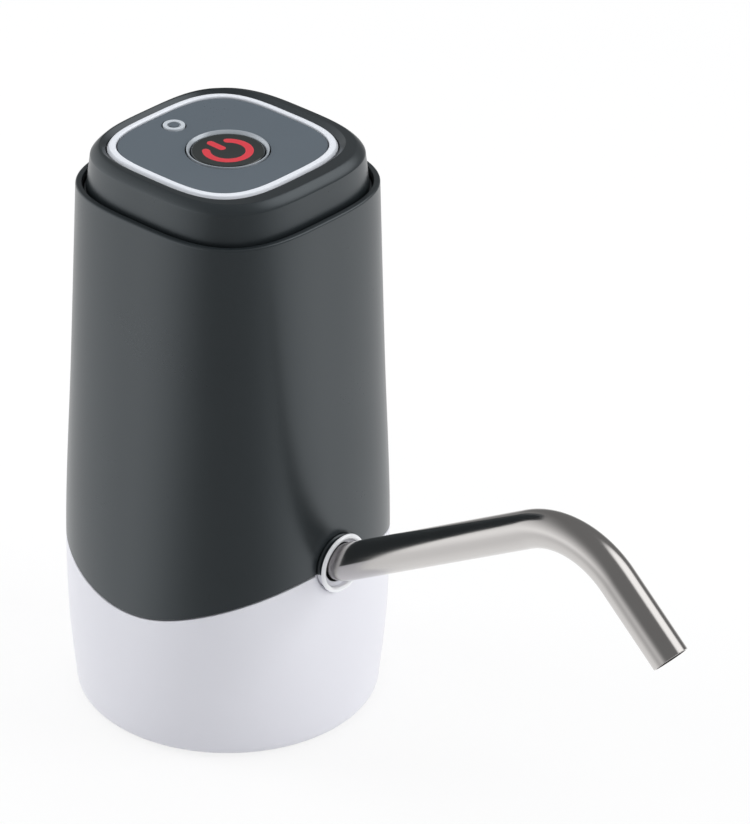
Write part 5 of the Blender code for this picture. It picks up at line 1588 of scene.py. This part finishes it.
@dataclass
class Spout(SubAssembly):
    """The bent tube, the rubber collar that grips it and the socket that carries both."""

    body: BodyShape = field(default_factory=BodyShape)
    height: float = SPOUT_HEIGHT
    knee_reach: float = 35.3 * MM
    radius: float = 4.3 * MM
    wall: float = 0.6 * MM
    inside_share: float = 0.7
    rise: float = math.radians(29.8)
    fall: float = math.radians(41.0)
    arm: float = 78.1 * MM
    tail: float = 35.9 * MM
    bend_radius: float = 22.0 * MM
    knee_radius: float = 7.0 * MM
    insertion: float = 12.0 * MM
    steps: int = 72
    straight_rows: tuple[int, int, int] = (4, 12, 6)
    knee_rows: int = 10
    bend_rows: int = 32
    route_step: float = 0.5 * MM
    tube_edge: EdgeRound = EdgeRound(0.12 * MM, degrees=50.0)
    gap: float = SEAT_GAP
    seal_wall: float = 0.9 * MM
    groove_shares: tuple[float, float] = (0.35, 0.65)
    collar_edge: EdgeRound = EdgeRound(0.12 * MM, degrees=25.0)
    socket_wall: float = 0.7 * MM
    flange_width: float = 1.25 * MM
    flange_proud: float = 1.9 * MM
    lip_thickness: float = 0.75 * MM
    barrel_wall: float = 0.45 * MM
    ledge_width: float = 1.0 * MM
    ledge_proud: float = 0.5 * MM
    ledge_thickness: float = 0.4 * MM
    seat_depth: float = SPOUT_SEAT
    socket_steps: int = 128
    socket_edge: EdgeRound = EdgeRound(0.1 * MM, 2, 60.0)
    neck_radius: float = 3.6 * MM
    end_wall: float = 1.4 * MM
    bore_radius: float = 1.7 * MM
    outlet_place: float = 14.0 * MM
    barb_top: float = 53.9 * MM
    barb_radius: float = 3.1 * MM
    barb_root: float = 2.6 * MM
    barb_steps: int = 48

    def build(self) -> None:
        """Model and dress the tube, the collar and the socket."""
        self.build_tube()
        self.build_collar()
        self.build_socket()

    def knee_run(self) -> float:
        """Length that the knee takes off the straight at each side of it."""
        return self.knee_radius * math.tan(self.rise / 2)

    def bend_run(self) -> float:
        """Length that the bend takes off the straight at each side of it."""
        return self.bend_radius * math.tan((self.rise + self.fall) / 2)

    def inner_end(self) -> float:
        """Distance from the axis to the tube's inner end."""
        return self.knee_reach - self.insertion - self.knee_run()

    def build_tube(self) -> None:
        """The tube: a circle drawn out, spun round the knee, drawn out, spun round the bend."""
        knee = self.knee_run()
        bend = self.bend_run()
        first_rows, arm_rows, tail_rows = self.straight_rows
        start_afresh()
        begin = self.axis + Vector((self.inner_end(), 0, self.height))
        facing_x = (0, math.pi / 2, 0)
        bpy.ops.mesh.primitive_circle_add(vertices=self.steps, radius=self.radius, rotation=facing_x)
        piece = bpy.context.object
        piece.name = "spout_tube_polished"
        piece.location = begin
        bpy.ops.object.transform_apply(location=True, rotation=True, scale=True)
        bpy.ops.object.mode_set(mode="EDIT")
        bpy.ops.mesh.select_all(action="SELECT")
        way = Vector((1, 0, 0))
        end = self.draw_out(begin, way, self.insertion, first_rows)
        centre = end + Vector((0, 0, self.knee_radius))
        bpy.ops.mesh.spin(steps=self.knee_rows, angle=self.rise, center=centre, axis=(0, 1, 0))
        way = Vector((math.cos(self.rise), 0, math.sin(self.rise)))
        end = self.axis + Vector((self.knee_reach, 0, self.height)) + way * knee
        end = self.draw_out(end, way, self.arm - knee - bend, arm_rows)
        centre = end + Vector((way.z, 0, -way.x)) * self.bend_radius
        turn = -self.rise - self.fall
        bpy.ops.mesh.spin(steps=self.bend_rows, angle=turn, center=centre, axis=(0, 1, 0))
        way = Vector((math.cos(self.fall), 0, -math.sin(self.fall)))
        self.draw_out(end, way, self.tail - bend, tail_rows)
        bpy.ops.mesh.select_all(action="SELECT")
        bpy.ops.mesh.remove_doubles(threshold=MERGE_DISTANCE)
        bpy.ops.mesh.normals_make_consistent(inside=False)
        bpy.ops.object.mode_set(mode="OBJECT")
        apply_modifier(piece, "SOLIDIFY", thickness=self.wall, offset=-1.0, use_even_offset=True)
        soften(piece, self.tube_edge)
        reaches = self.mark_straight(piece)
        self.keep(piece, Look.STAINLESS_STEEL, "spout_tube", "spout")
        self.paint_bore_shade(piece, reaches)

    def draw_out(self, start: Vector, way: Vector, length: float, steps: int) -> Vector:
        """Extrude the selected ring along a straight.

        Args:
            start: The middle of the ring.
            way: The direction.
            length: How far.
            steps: In how many steps.

        Returns:
            The middle of the ring at the far end.
        """
        for _ in range(steps):
            bpy.ops.mesh.extrude_region_move(TRANSFORM_OT_translate={"value": way * (length / steps)})
        return start + way * length

    def route(self) -> list[tuple[Vector, Vector, float]]:
        """The tube's middle line as closely spaced points.

        Returns:
            For each point its place, its direction and its distance along the tube.
        """
        turn = self.rise + self.fall
        parts = [
            (self.insertion, 0.0),
            (self.knee_radius * self.rise, self.rise),
            (self.arm - self.knee_run() - self.bend_run(), 0.0),
            (self.bend_radius * turn, -turn),
            (self.tail - self.bend_run(), 0.0),
        ]
        place = self.axis + Vector((self.inner_end(), 0, self.height))
        heading = 0.0
        along = 0.0
        points = []
        for length, swing in parts:
            count = max(1, round(length / self.route_step))
            for _ in range(count):
                way = Vector((math.cos(heading), 0, math.sin(heading)))
                points.append((place.copy(), way, along))
                heading += swing / count
                place += Vector((math.cos(heading), 0, math.sin(heading))) * (length / count)
                along += length / count
        return points

    def mark_straight(self, piece: bpy.types.Object) -> list[float]:
        """Store on each vertex where it would lie if the tube were pulled straight.

        Args:
            piece: The tube.

        Returns:
            The distance of each vertex from the middle line.
        """
        points = self.route()
        reaches = []
        layer = piece.data.attributes.new(STRAIGHT_LAYER, "FLOAT_VECTOR", "POINT")
        for vertex, entry in zip(piece.data.vertices, layer.data):
            place, way, along = min(points, key=lambda point: (point[0] - vertex.co).length_squared)
            apart = vertex.co - place
            side = Vector((-way.z, 0, way.x))
            entry.vector = (along + apart.dot(way), apart.y, apart.dot(side))
            reaches.append(math.hypot(apart.y, apart.dot(side)))
        return reaches

    def paint_bore_shade(self, piece: bpy.types.Object, reaches: list[float]) -> None:
        """Give the bore of the tube a rough finish with a warm tint, painted near black as painted shade
        for the inside of the tube.

        Args:
            piece: The tube, already dressed.
            reaches: The distance of each vertex from the middle line.
        """
        shaded_bore_index = len(piece.data.materials)
        piece.data.materials.append(self.shelf.take("tube_inside", TUBE_INSIDE))
        limit = self.radius - self.wall * self.inside_share
        # Painted shade: every face of the bore takes the near-black finish.
        for face in piece.data.polygons:
            if all(reaches[number] < limit for number in face.vertices):
                face.material_index = shaded_bore_index

    def build_collar(self) -> None:
        """The rubber collar, with two grip grooves round it."""
        bore = self.radius + self.gap
        outer = bore + self.seal_wall
        low = self.inner_end() + self.gap
        high = self.body.half_width(self.height) - self.gap
        groove = self.seal_wall / 3
        outline = [(bore, high), (outer - groove, high), (outer, high - groove)]
        for share in self.groove_shares:
            middle = high - (high - low) * share
            outline += [
                (outer, middle + 2 * groove),
                (outer - groove, middle),
                (outer, middle - 2 * groove),
            ]
        outline += [(outer, low), (bore, low)]
        piece = draw_pierced("spout_collar", turned_level(outline, self.height), self.axis)
        soften(piece, self.collar_edge)
        self.keep(piece, Look.BLACK_RUBBER, "swivel", "spout_seal")

    def build_socket(self) -> None:
        """The socket: a rounded flange outside, a bore for the collar and a barb inside."""
        bore = self.radius + 2 * self.gap + self.seal_wall
        outer = bore + self.socket_wall
        flange = bore + self.flange_width
        face = self.body.half_width(self.height) - self.seat_depth + self.gap
        mouth = self.body.half_width(self.height) + self.flange_proud
        bore_end = self.inner_end() - self.gap
        back = bore_end - self.end_wall
        end = self.outlet_place - self.neck_radius
        crown = (flange - bore) / 2
        barrel = bore + self.barrel_wall
        under = mouth - self.lip_thickness
        outline = [
            (self.neck_radius, end),
            (self.neck_radius, back),
            (outer, back),
            (outer, face),
            (barrel, face + self.gap),
            (barrel, under - self.gap),
            (flange - self.gap / 2, under),
        ]
        rim_rows = 12
        for row in range(rim_rows + 1):
            turn = math.pi * row / rim_rows
            outline.append((flange - crown * (1 - math.cos(turn)), mouth - crown * (1 - math.sin(turn))))
        ledge = self.body.half_width(self.height) + self.ledge_proud
        outline += [
            (bore, ledge),
            (bore - self.ledge_width, ledge),
            (bore - self.ledge_width, ledge - self.ledge_thickness),
            (bore, ledge - self.ledge_thickness),
            (bore, bore_end),
            (self.bore_radius, bore_end),
            (self.bore_radius, end + self.end_wall),
        ]
        rings = turned_level(outline, self.height)
        piece = draw_capped("socket_moulding", rings, self.axis, self.socket_steps)
        cut(piece, self.barb(), "UNION")
        cut(piece, self.barb_bore())
        soften(piece, self.socket_edge)
        self.keep(piece, Look.WHITE_PLASTIC, "body", "spout_socket")
        self.dress_rim(piece, under, bore)

    def dress_rim(self, piece: bpy.types.Object, under: float, bore: float) -> None:
        """Give the socket its bright rim, and paint the upper outside of its barrel with the dark plastic
        as painted shade, for the shadow beside the rim.

        Args:
            piece: The socket, already dressed.
            under: Distance of the rim's back from the axis.
            bore: Radius of the bore.
        """
        bright = len(piece.data.materials)
        dark = bright + 1
        painted_shade_look = Look.DARK_PLASTIC
        piece.data.materials.append(self.shelf.take("rim_metal", RIM_METAL))
        piece.data.materials.append(self.shelf.take(painted_shade_look.value, FINISHES[painted_shade_look]))
        for face in piece.data.polygons:
            place = face.center - self.axis
            outside = math.hypot(place.y, place.z - self.height) > bore + self.gap / 2
            if place.x > under - self.gap / 2:
                face.material_index = bright
            # Painted shade: the barrel's upper outside takes the dark plastic, standing in for the shadow
            # beside the rim.
            elif outside and place.x > self.inner_end() and place.z > self.body.joint(0.0):
                face.material_index = dark

    def barb(self) -> bpy.types.Object:
        """Draw the upright barb for the outlet hose.

        Returns:
            The barb.
        """
        spot = self.axis + Vector((self.outlet_place, 0, 0))
        low = self.height + self.neck_radius / 2
        foot = self.height + self.neck_radius - self.gap
        length = self.barb_top - foot
        outline = [(self.barb_root, low)]
        teeth = 2
        for tooth in range(teeth):
            bottom = foot + length * tooth / teeth
            shoulder = bottom + length / teeth * 2 / 3
            outline += [(self.barb_root, bottom), (self.barb_radius, shoulder), (self.barb_root, shoulder)]
        outline.append((self.barb_root, self.barb_top))
        return draw_capped("barb_form", turned(outline), spot, self.barb_steps)

    def barb_bore(self) -> bpy.types.Object:
        """Make the cutter for the bore down the barb.

        Returns:
            The cutter.
        """
        spot = self.axis + Vector((self.outlet_place, 0, 0))
        outline = [(self.bore_radius, self.height), (self.bore_radius, self.barb_top + self.wall)]
        return draw_capped("barb_cutter", turned(outline), spot, self.barb_steps)


@dataclass
class NeckSocket(SubAssembly):
    """What sits in the neck socket: the soft liner and the fitting for the suction hose."""

    bore: float = 28.8 * MM
    liner_wall: float = 1.0 * MM
    rib: float = 0.5 * MM
    top: float = 29.7 * MM
    bottom: float = 2.5 * MM
    flange: float = 3.8 * MM
    flange_thickness: float = 2.0 * MM
    stub_radius: float = 5.0 * MM
    fitting_flange: float = 9.0 * MM
    fitting_thickness: float = 1.8 * MM
    fitting_top: float = 38.2 * MM
    suction_length: float = 16.0 * MM
    suction_radius: float = 4.6 * MM
    suction_root: float = 4.0 * MM
    suction_bore: float = 2.6 * MM
    inlet_length: float = 5.5 * MM
    inlet_radius: float = 3.1 * MM
    inlet_root: float = 2.6 * MM
    inlet_bore: float = 1.7 * MM
    liner_steps: int = 144
    fitting_steps: int = 72
    liner_edge: EdgeRound = EdgeRound(0.2 * MM, degrees=30.0)
    fitting_edge: EdgeRound = EdgeRound(0.1 * MM, 2, 30.0)

    def build(self) -> None:
        """Model and dress the liner and the fitting."""
        self.build_liner()
        self.build_fitting()

    def build_liner(self) -> None:
        """The liner: a soft sleeve with two ribs and a sealing flange."""
        inner = self.bore - self.liner_wall
        under = self.top - self.flange_thickness
        ribs = 2
        pitch = (under - self.bottom) / (ribs + 1)
        outline = [(self.bore, self.top), (self.bore, self.bottom), (inner, self.bottom)]
        for number in range(1, ribs + 1):
            middle = self.bottom + pitch * number
            outline += [(inner, middle - self.rib), (inner - self.rib, middle), (inner, middle + self.rib)]
        outline += [(inner, under), (inner - self.flange, under), (inner - self.flange, self.top)]
        piece = draw_pierced("neck_sleeve", turned(outline), self.axis, self.liner_steps)
        soften(piece, self.liner_edge)
        self.keep(piece, Look.SILICONE, "body", "neck_liner")

    def teeth(self, root: float, peak: float, start: float, length: float) -> list[tuple[float, float]]:
        """Outline of a barb with two teeth.

        Args:
            root: The radius between the teeth.
            peak: The radius of the teeth.
            start: The height where the barb begins.
            length: Its length, negative where it hangs down.

        Returns:
            Pairs of a radius and a height, from the start to the tip.
        """
        points = [(root, start)]
        teeth = 2
        for tooth in range(teeth):
            shoulder = start + length * tooth / teeth + length / (3 * teeth)
            far = start + length * (tooth + 1) / teeth
            points += [(root, shoulder), (peak, shoulder), (root, far)]
        return points

    def build_fitting(self) -> None:
        """The fitting: a barb below the ceiling, a stub through it and a barb above."""
        under = self.top - self.fitting_thickness
        upper = self.teeth(self.inlet_root, self.inlet_radius, self.fitting_top, self.inlet_length)
        lower = self.teeth(self.suction_root, self.suction_radius, under, -self.suction_length)
        outline = [
            *reversed(upper),
            (self.stub_radius, self.fitting_top),
            (self.stub_radius, self.top),
            (self.fitting_flange, self.top),
            (self.fitting_flange, under),
            *lower,
            (self.suction_bore, lower[-1][1]),
            (self.suction_bore, self.top),
            (self.inlet_bore, self.top + self.suction_bore - self.inlet_bore),
            (self.inlet_bore, upper[-1][1]),
        ]
        piece = draw_pierced("suction_barb", turned(outline), self.axis, self.fitting_steps)
        soften(piece, self.fitting_edge)
        self.keep(piece, Look.NATURAL_PLASTIC, "body", "suction_fitting")


@dataclass
class ChargingPort(SubAssembly):
    """The metal mouth in the slot at the back, with its tongue."""

    height: float = PORT_HEIGHT
    mouth: float = -29.23 * MM
    width: float = 9.0 * MM
    rise: float = 3.3 * MM
    depth: float = 7.4 * MM
    wall: float = 0.35 * MM
    lead_in: float = 0.2 * MM
    steps: int = 72
    mouth_edge: EdgeRound = EdgeRound(0.08 * MM, degrees=40.0)
    tip_scale: tuple[float, float, float] = (1.0, 0.92, 0.5)
    corner_share: float = 0.49
    contacts: int = 6
    contact_border_share: float = 0.15
    contact_height: float = 0.03 * MM
    level_face: float = 0.99

    def build(self) -> None:
        """Model and dress the mouth and its tongue."""
        self.build_mouth()
        self.build_tongue()

    def build_mouth(self) -> None:
        """The mouth: a folded metal shell with a lead-in and a closed back."""
        end = self.mouth + self.depth
        floor = end - 3 * self.wall
        places = [
            (0.0, end),
            (0.0, self.mouth),
            (-self.wall + self.lead_in, self.mouth),
            (-self.wall, self.mouth + self.lead_in),
            (-self.wall, floor),
        ]
        rings = [slot_ring(self.width, self.rise, grow, place, self.height) for grow, place in places]
        piece = draw_capped("port_mouth", rings, self.axis, self.steps)
        soften(piece, self.mouth_edge)
        self.keep(piece, Look.NICKEL, "body", "charging_port")

    def build_tongue(self) -> None:
        """The tongue: a thin plate with a sloped tip and raised contacts on both faces."""
        low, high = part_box("port_tongue")
        base = high - low
        pitch = base.y / (2 * self.contacts)
        start_afresh()
        bpy.ops.mesh.primitive_cube_add(size=1.0)
        piece = bpy.context.object
        piece.name = "port_blade"
        piece.scale = base
        piece.location = (low + high) / 2
        bpy.ops.object.transform_apply(location=True, rotation=True, scale=True)
        bpy.ops.object.mode_set(mode="EDIT")
        tip = low.x + MERGE_DISTANCE
        select_in_edit(piece, "faces", lambda face: face.calc_center_median().x < tip)
        bpy.ops.mesh.extrude_region_move(TRANSFORM_OT_translate={"value": (0, 0, 0)})
        bpy.ops.transform.resize(value=self.tip_scale)
        select_in_edit(piece, "verts", lambda vertex: abs(vertex.co.x - low.x) < MERGE_DISTANCE)
        shape = bmesh.from_edit_mesh(piece.data)
        for vertex in shape.verts:
            if vertex.select and abs(vertex.co.y) > base.y * self.corner_share:
                vertex.co.x += self.lead_in * 2
        bmesh.update_edit_mesh(piece.data)
        for number in range(1, 2 * self.contacts):
            place = low.y + base.y * number / (2 * self.contacts)
            bpy.ops.mesh.select_all(action="SELECT")
            bpy.ops.mesh.bisect(plane_co=(0, place, 0), plane_no=(0, 1, 0))

        def is_contact(face: bmesh.types.BMFace) -> bool:
            """Whether a face is every second strip on the top or the underside."""
            strip = int((face.calc_center_median().y - low.y) / pitch)
            return abs(face.normal.z) > self.level_face and strip % 2 == 1

        select_in_edit(piece, "faces", is_contact)
        border = pitch * self.contact_border_share
        bpy.ops.mesh.inset(thickness=border, depth=0.0, use_individual=True)
        bpy.ops.mesh.extrude_faces_move(TRANSFORM_OT_shrink_fatten={"value": -self.contact_height})
        bpy.ops.object.mode_set(mode="OBJECT")
        self.keep(piece, Look.COMPONENT_BLACK, "body", "port_tongue")


@dataclass
class InnerWorks(SubAssembly):
    """The working parts inside: their own solids, dressed as they are, apart from the diaphragm."""

    hard_edge: float = math.radians(32)
    cup_drop: float = 0.3 * MM
    looks: dict[Look, tuple[str, ...]] = field(
        default_factory=lambda: {
            Look.NATURAL_PLASTIC: (
                "fitting_nut",
                "socket_nut",
                "wobble_plate",
                "eccentric",
                "motor_end_bell",
            ),
            Look.SILICONE: ("inlet_hose", "outlet_hose", "outlet_valve"),
            Look.COMPONENT_BLACK: (
                "push_switch",
                "driver_chip",
                "frame_left",
                "frame_right",
                "battery_holder",
            ),
            Look.WHITE_PLASTIC: ("pump_cover", "valve_plate", "swing_housing", "switch_plunger"),
            Look.STEEL_PIN: ("needle_pin", "motor_shaft"),
            Look.NICKEL: ("motor_can", "battery_tab_bottom", "battery_tab_top", "capacitor"),
            Look.COPPER: (
                "motor_armature",
                "motor_commutator",
                "motor_terminal_plus",
                "motor_terminal_minus",
            ),
            Look.FERRITE: ("motor_magnet_front", "motor_magnet_back", "charge_coil"),
            Look.BATTERY_WRAP: ("battery_cell",),
            Look.BOARD: ("control_board",),
            Look.LIGHT_LENS: ("indicator_led",),
            Look.RED_WIRE: ("battery_lead_plus", "motor_lead_plus"),
            Look.BLACK_WIRE: ("battery_lead_minus", "motor_lead_minus"),
        }
    )

    def build(self, nodes: dict[str, bpy.types.Object]) -> None:
        """Dress every solid that stays.

        Args:
            nodes: The solids by name.
        """
        for look, names in self.looks.items():
            for name in names:
                self.dress_solid(nodes[name], look)
        self.build_diaphragm(nodes["diaphragm"])

    def build_diaphragm(self, solid: bpy.types.Object) -> None:
        """Model the rubber sheet with cups low enough for the wobble plate to swing over them.

        Args:
            solid: The diaphragm's solid.
        """
        piece = bpy.data.objects.new("diaphragm_cups", solid.data.copy())
        bpy.context.scene.collection.objects.link(piece)
        piece.data.materials.clear()
        make_active(piece)
        top = max(vertex.co.z for vertex in piece.data.vertices) - MERGE_DISTANCE
        bpy.ops.object.mode_set(mode="EDIT")
        bpy.ops.mesh.select_all(action="SELECT")
        bpy.ops.mesh.remove_doubles(threshold=MERGE_DISTANCE)
        select_in_edit(piece, "verts", lambda vertex: vertex.co.z > top)
        bpy.ops.transform.translate(value=(0, 0, -self.cup_drop))
        bpy.ops.object.mode_set(mode="OBJECT")
        self.keep(piece, Look.SILICONE, "body", "diaphragm")

    def dress_solid(self, solid: bpy.types.Object, look: Look) -> None:
        """Give a solid its finish, and smooth faces between its hard edges.

        Args:
            solid: The solid.
            look: Its finish.
        """
        make_active(solid)
        bpy.ops.object.shade_smooth()
        weld = solid.modifiers.new("Weld", "WELD")
        weld.merge_threshold = MERGE_DISTANCE
        split = solid.modifiers.new("Hard edges", "EDGE_SPLIT")
        split.split_angle = self.hard_edge
        self.shelf.dress(solid, look)
        LOG.info("%s: solid dressed as %s", solid.name, look.value)


# Studio


@dataclass
class Lamp:
    """One soft rectangular lamp that points at the middle of the pump and leaves no mirror image."""

    name: str
    place: tuple[float, float, float]
    size: tuple[float, float]
    power: float
    colour: Colour = (1.0, 1.0, 1.0)

    def build(self, target: Vector) -> None:
        """Hang the lamp.

        Args:
            target: What it points at.
        """
        data = bpy.data.lights.new(self.name, "AREA")
        data.shape = "RECTANGLE"
        data.size, data.size_y = self.size
        data.energy = self.power
        data.color = self.colour
        lamp = bpy.data.objects.new(self.name, data)
        bpy.context.scene.collection.objects.link(lamp)
        lamp.visible_glossy = False
        lamp.location = self.place
        lamp.rotation_euler = (target - lamp.location).to_track_quat("-Z", "Y").to_euler()


@dataclass(frozen=True)
class Room:
    """The room as glossy surfaces mirror it, where 1 is white.

    The table is bright at both sides and dark in front. Above it the room is dim, with a pale
    wall on the left that fades with height and a window high on the right.
    """

    front: tuple[float, float, float] = (0.666, -0.746, 0.0)
    left: tuple[float, float, float] = (-0.8, -0.6, 0.0)
    up: tuple[float, float, float] = (0.0, 0.0, 1.0)
    window: tuple[float, float, float] = (0.43, 0.65, 0.627)
    table_ends: tuple[float, float] = (1.04, 0.26)
    table_span: tuple[float, float] = (-0.1, 0.85)
    horizon: tuple[float, float] = (-0.42, 0.05)
    room_share: float = 0.21
    wall_share: float = 1.05
    wall_span: tuple[float, float] = (0.27, 1.0)
    window_span: tuple[float, float] = (0.85, 0.975)
    window_brightness: float = 1.55

    def brightness(self, shader: Shader) -> Socket:
        """How bright the room is in each direction.

        Args:
            shader: The world's nodes.

        Returns:
            The brightness.
        """
        way = shader.output(shader.node("ShaderNodeTexCoord"), "Generated")
        height = shader.along(way, self.up)
        table = shader.eased(shader.along(way, self.front), self.table_span, self.table_ends)
        wall = shader.eased(shader.along(way, self.left), self.wall_span, (0.0, self.wall_share))
        room = wall * (1.0 - height.at_least(0.0)) + self.room_share
        above = shader.eased(height, self.horizon, (0.0, 1.0))
        pane = shader.eased(shader.along(way, self.window), self.window_span, (0.0, self.window_brightness))
        return (table * (1.0 - above) + room * above).at_least(pane)


@dataclass
class Studio:
    """The camera, the floor, the lamps and the pale room round the pump."""

    axis: Vector
    azimuth: float = math.radians(41.738)
    elevation: float = math.radians(29.662)
    roll: float = math.radians(-0.82)
    place: tuple[float, float, float] = (756.51 * MM, -798.09 * MM, 696.89 * MM)
    lens: float = 244.56
    film: float = 36.0
    floor_size: float = 8.0
    floor_drop: float = 0.2 * MM
    floor_colour: Colour = (0.9, 0.9, 0.9)
    floor_roughness: float = 0.8
    floor_specular: float = 0.2
    mottle_scale: float = 3.0
    mottle_drift: float = 0.01
    backdrop_share: float = 0.8
    ambient: float = 0.62
    ambient_colour: Colour = (0.97, 0.98, 1.0)
    aim_height: float = 70 * MM
    room: Room = Room()
    lamps: tuple[Lamp, ...] = (
        Lamp("lamp_top", (-0.15, 0.1, 1.1), (0.8, 0.8), 4.0),
        Lamp("lamp_right", (0.95, 0.65, 0.55), (0.7, 0.8), 6.8),
        Lamp("lamp_left", (-0.95, -0.45, 0.5), (0.5, 0.8), 4.0),
    )

    def build(self) -> None:
        """Set up the whole studio."""
        self.build_camera()
        self.build_floor()
        self.build_room()
        for lamp in self.lamps:
            lamp.build(self.axis + Vector((0, 0, self.aim_height)))
        bpy.context.scene.view_settings.view_transform = "Standard"
        LOG.info("studio: camera, floor and %d lamps", len(self.lamps))

    def build_camera(self) -> None:
        """Place the camera where the photograph was taken from."""
        turn, tilt, roll = self.azimuth, self.elevation, self.roll
        right = Vector((math.cos(turn), math.sin(turn), 0))
        back = Vector((math.sin(turn) * math.cos(tilt), -math.cos(turn) * math.cos(tilt), math.sin(tilt)))
        up = back.cross(right)
        rolled_right = right * math.cos(roll) - up * math.sin(roll)
        rolled_up = right * math.sin(roll) + up * math.cos(roll)
        data = bpy.data.cameras.new("camera")
        data.sensor_width = self.film
        data.lens = self.lens
        camera = bpy.data.objects.new("camera", data)
        bpy.context.scene.collection.objects.link(camera)
        facing = Matrix((rolled_right, rolled_up, back)).transposed().to_4x4()
        camera.matrix_world = Matrix.Translation(self.axis + Vector(self.place)) @ facing
        bpy.context.scene.camera = camera

    def seen(self, shader: Shader) -> Socket:
        """Tell the rays that show the background: straight, mirrored and through glass.

        Args:
            shader: The nodes that it is worked out in.

        Returns:
            One for such a ray, and zero for any other.
        """
        path = shader.node("ShaderNodeLightPath")
        straight = shader.output(path, "Is Camera Ray")
        mirrored = shader.output(path, "Is Glossy Ray")
        through_glass = shader.output(path, "Is Transmission Ray")
        return (straight + mirrored + through_glass).at_most(1.0)

    def build_floor(self) -> None:
        """A wide pale floor that keeps the pump's shadow."""
        start_afresh()
        bpy.ops.mesh.primitive_plane_add(size=self.floor_size, location=(0, 0, -self.floor_drop))
        floor = bpy.context.object
        floor.name = "floor"
        material = bpy.data.materials.new("floor")
        material.use_nodes = True
        shader = Shader(material.node_tree)
        surface = material.node_tree.nodes["Principled BSDF"]
        mottle = shader.noise(shader.object_place(), self.mottle_scale)
        darker = tinted(self.floor_colour, 1 - self.mottle_drift)
        lighter = tinted(self.floor_colour, 1 + self.mottle_drift)
        shader.feed(surface.inputs["Base Color"], shader.mixed(mottle, darker, lighter))
        surface.inputs["Roughness"].default_value = self.floor_roughness
        surface.inputs["Specular IOR Level"].default_value = self.floor_specular
        white = shader.node("ShaderNodeEmission", None, {"Color": (1, 1, 1, 1), "Strength": 1.0})
        share = self.seen(shader) * self.backdrop_share
        both = shader.node("ShaderNodeMixShader", None, {0: share})
        shader.tree.links.new(surface.outputs[0], both.inputs[1])
        shader.tree.links.new(white.outputs[0], both.inputs[2])
        end = material.node_tree.nodes["Material Output"]
        shader.tree.links.new(both.outputs[0], end.inputs["Surface"])
        floor.data.materials.append(material)
        floor.visible_glossy = False

    def build_room(self) -> None:
        """A pale room: white where it is seen, graded in mirror images, and a soft light elsewhere."""
        world = bpy.data.worlds.new("room")
        bpy.context.scene.world = world
        world.use_nodes = True
        world.node_tree.nodes.clear()
        shader = Shader(world.node_tree)
        pale = {"Color": (*self.ambient_colour, 1), "Strength": self.ambient}
        soft = shader.node("ShaderNodeBackground", None, pale)
        mirrored = shader.output(shader.node("ShaderNodeLightPath"), "Is Glossy Ray")
        brightness = 1.0 + mirrored * (self.room.brightness(shader) - 1.0)
        white = shader.node("ShaderNodeBackground", None, {"Color": brightness, "Strength": 1.0})
        both = shader.node("ShaderNodeMixShader", None, {0: self.seen(shader)})
        end = shader.node("ShaderNodeOutputWorld")
        shader.tree.links.new(soft.outputs[0], both.inputs[1])
        shader.tree.links.new(white.outputs[0], both.inputs[2])
        shader.tree.links.new(both.outputs[0], end.inputs["Surface"])


def main() -> None:
    """Load the solids, build and dress every sub-assembly, and set up the studio."""
    logging.basicConfig(level=logging.INFO, format="%(name)s: %(message)s")
    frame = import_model()
    low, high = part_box("button_bezel")
    axis = Vector(((low.x + high.x) / 2, (low.y + high.y) / 2, 0))
    shelf = FinishShelf()
    for assembly in (Shell, Crown, PushButton, StatusLight, Spout, NeckSocket, ChargingPort):
        assembly(axis, shelf).build()
    InnerWorks(axis, shelf).build(frame["nodes"])
    Studio(axis).build()
    start_afresh()


if __name__ == "__main__":
    main()
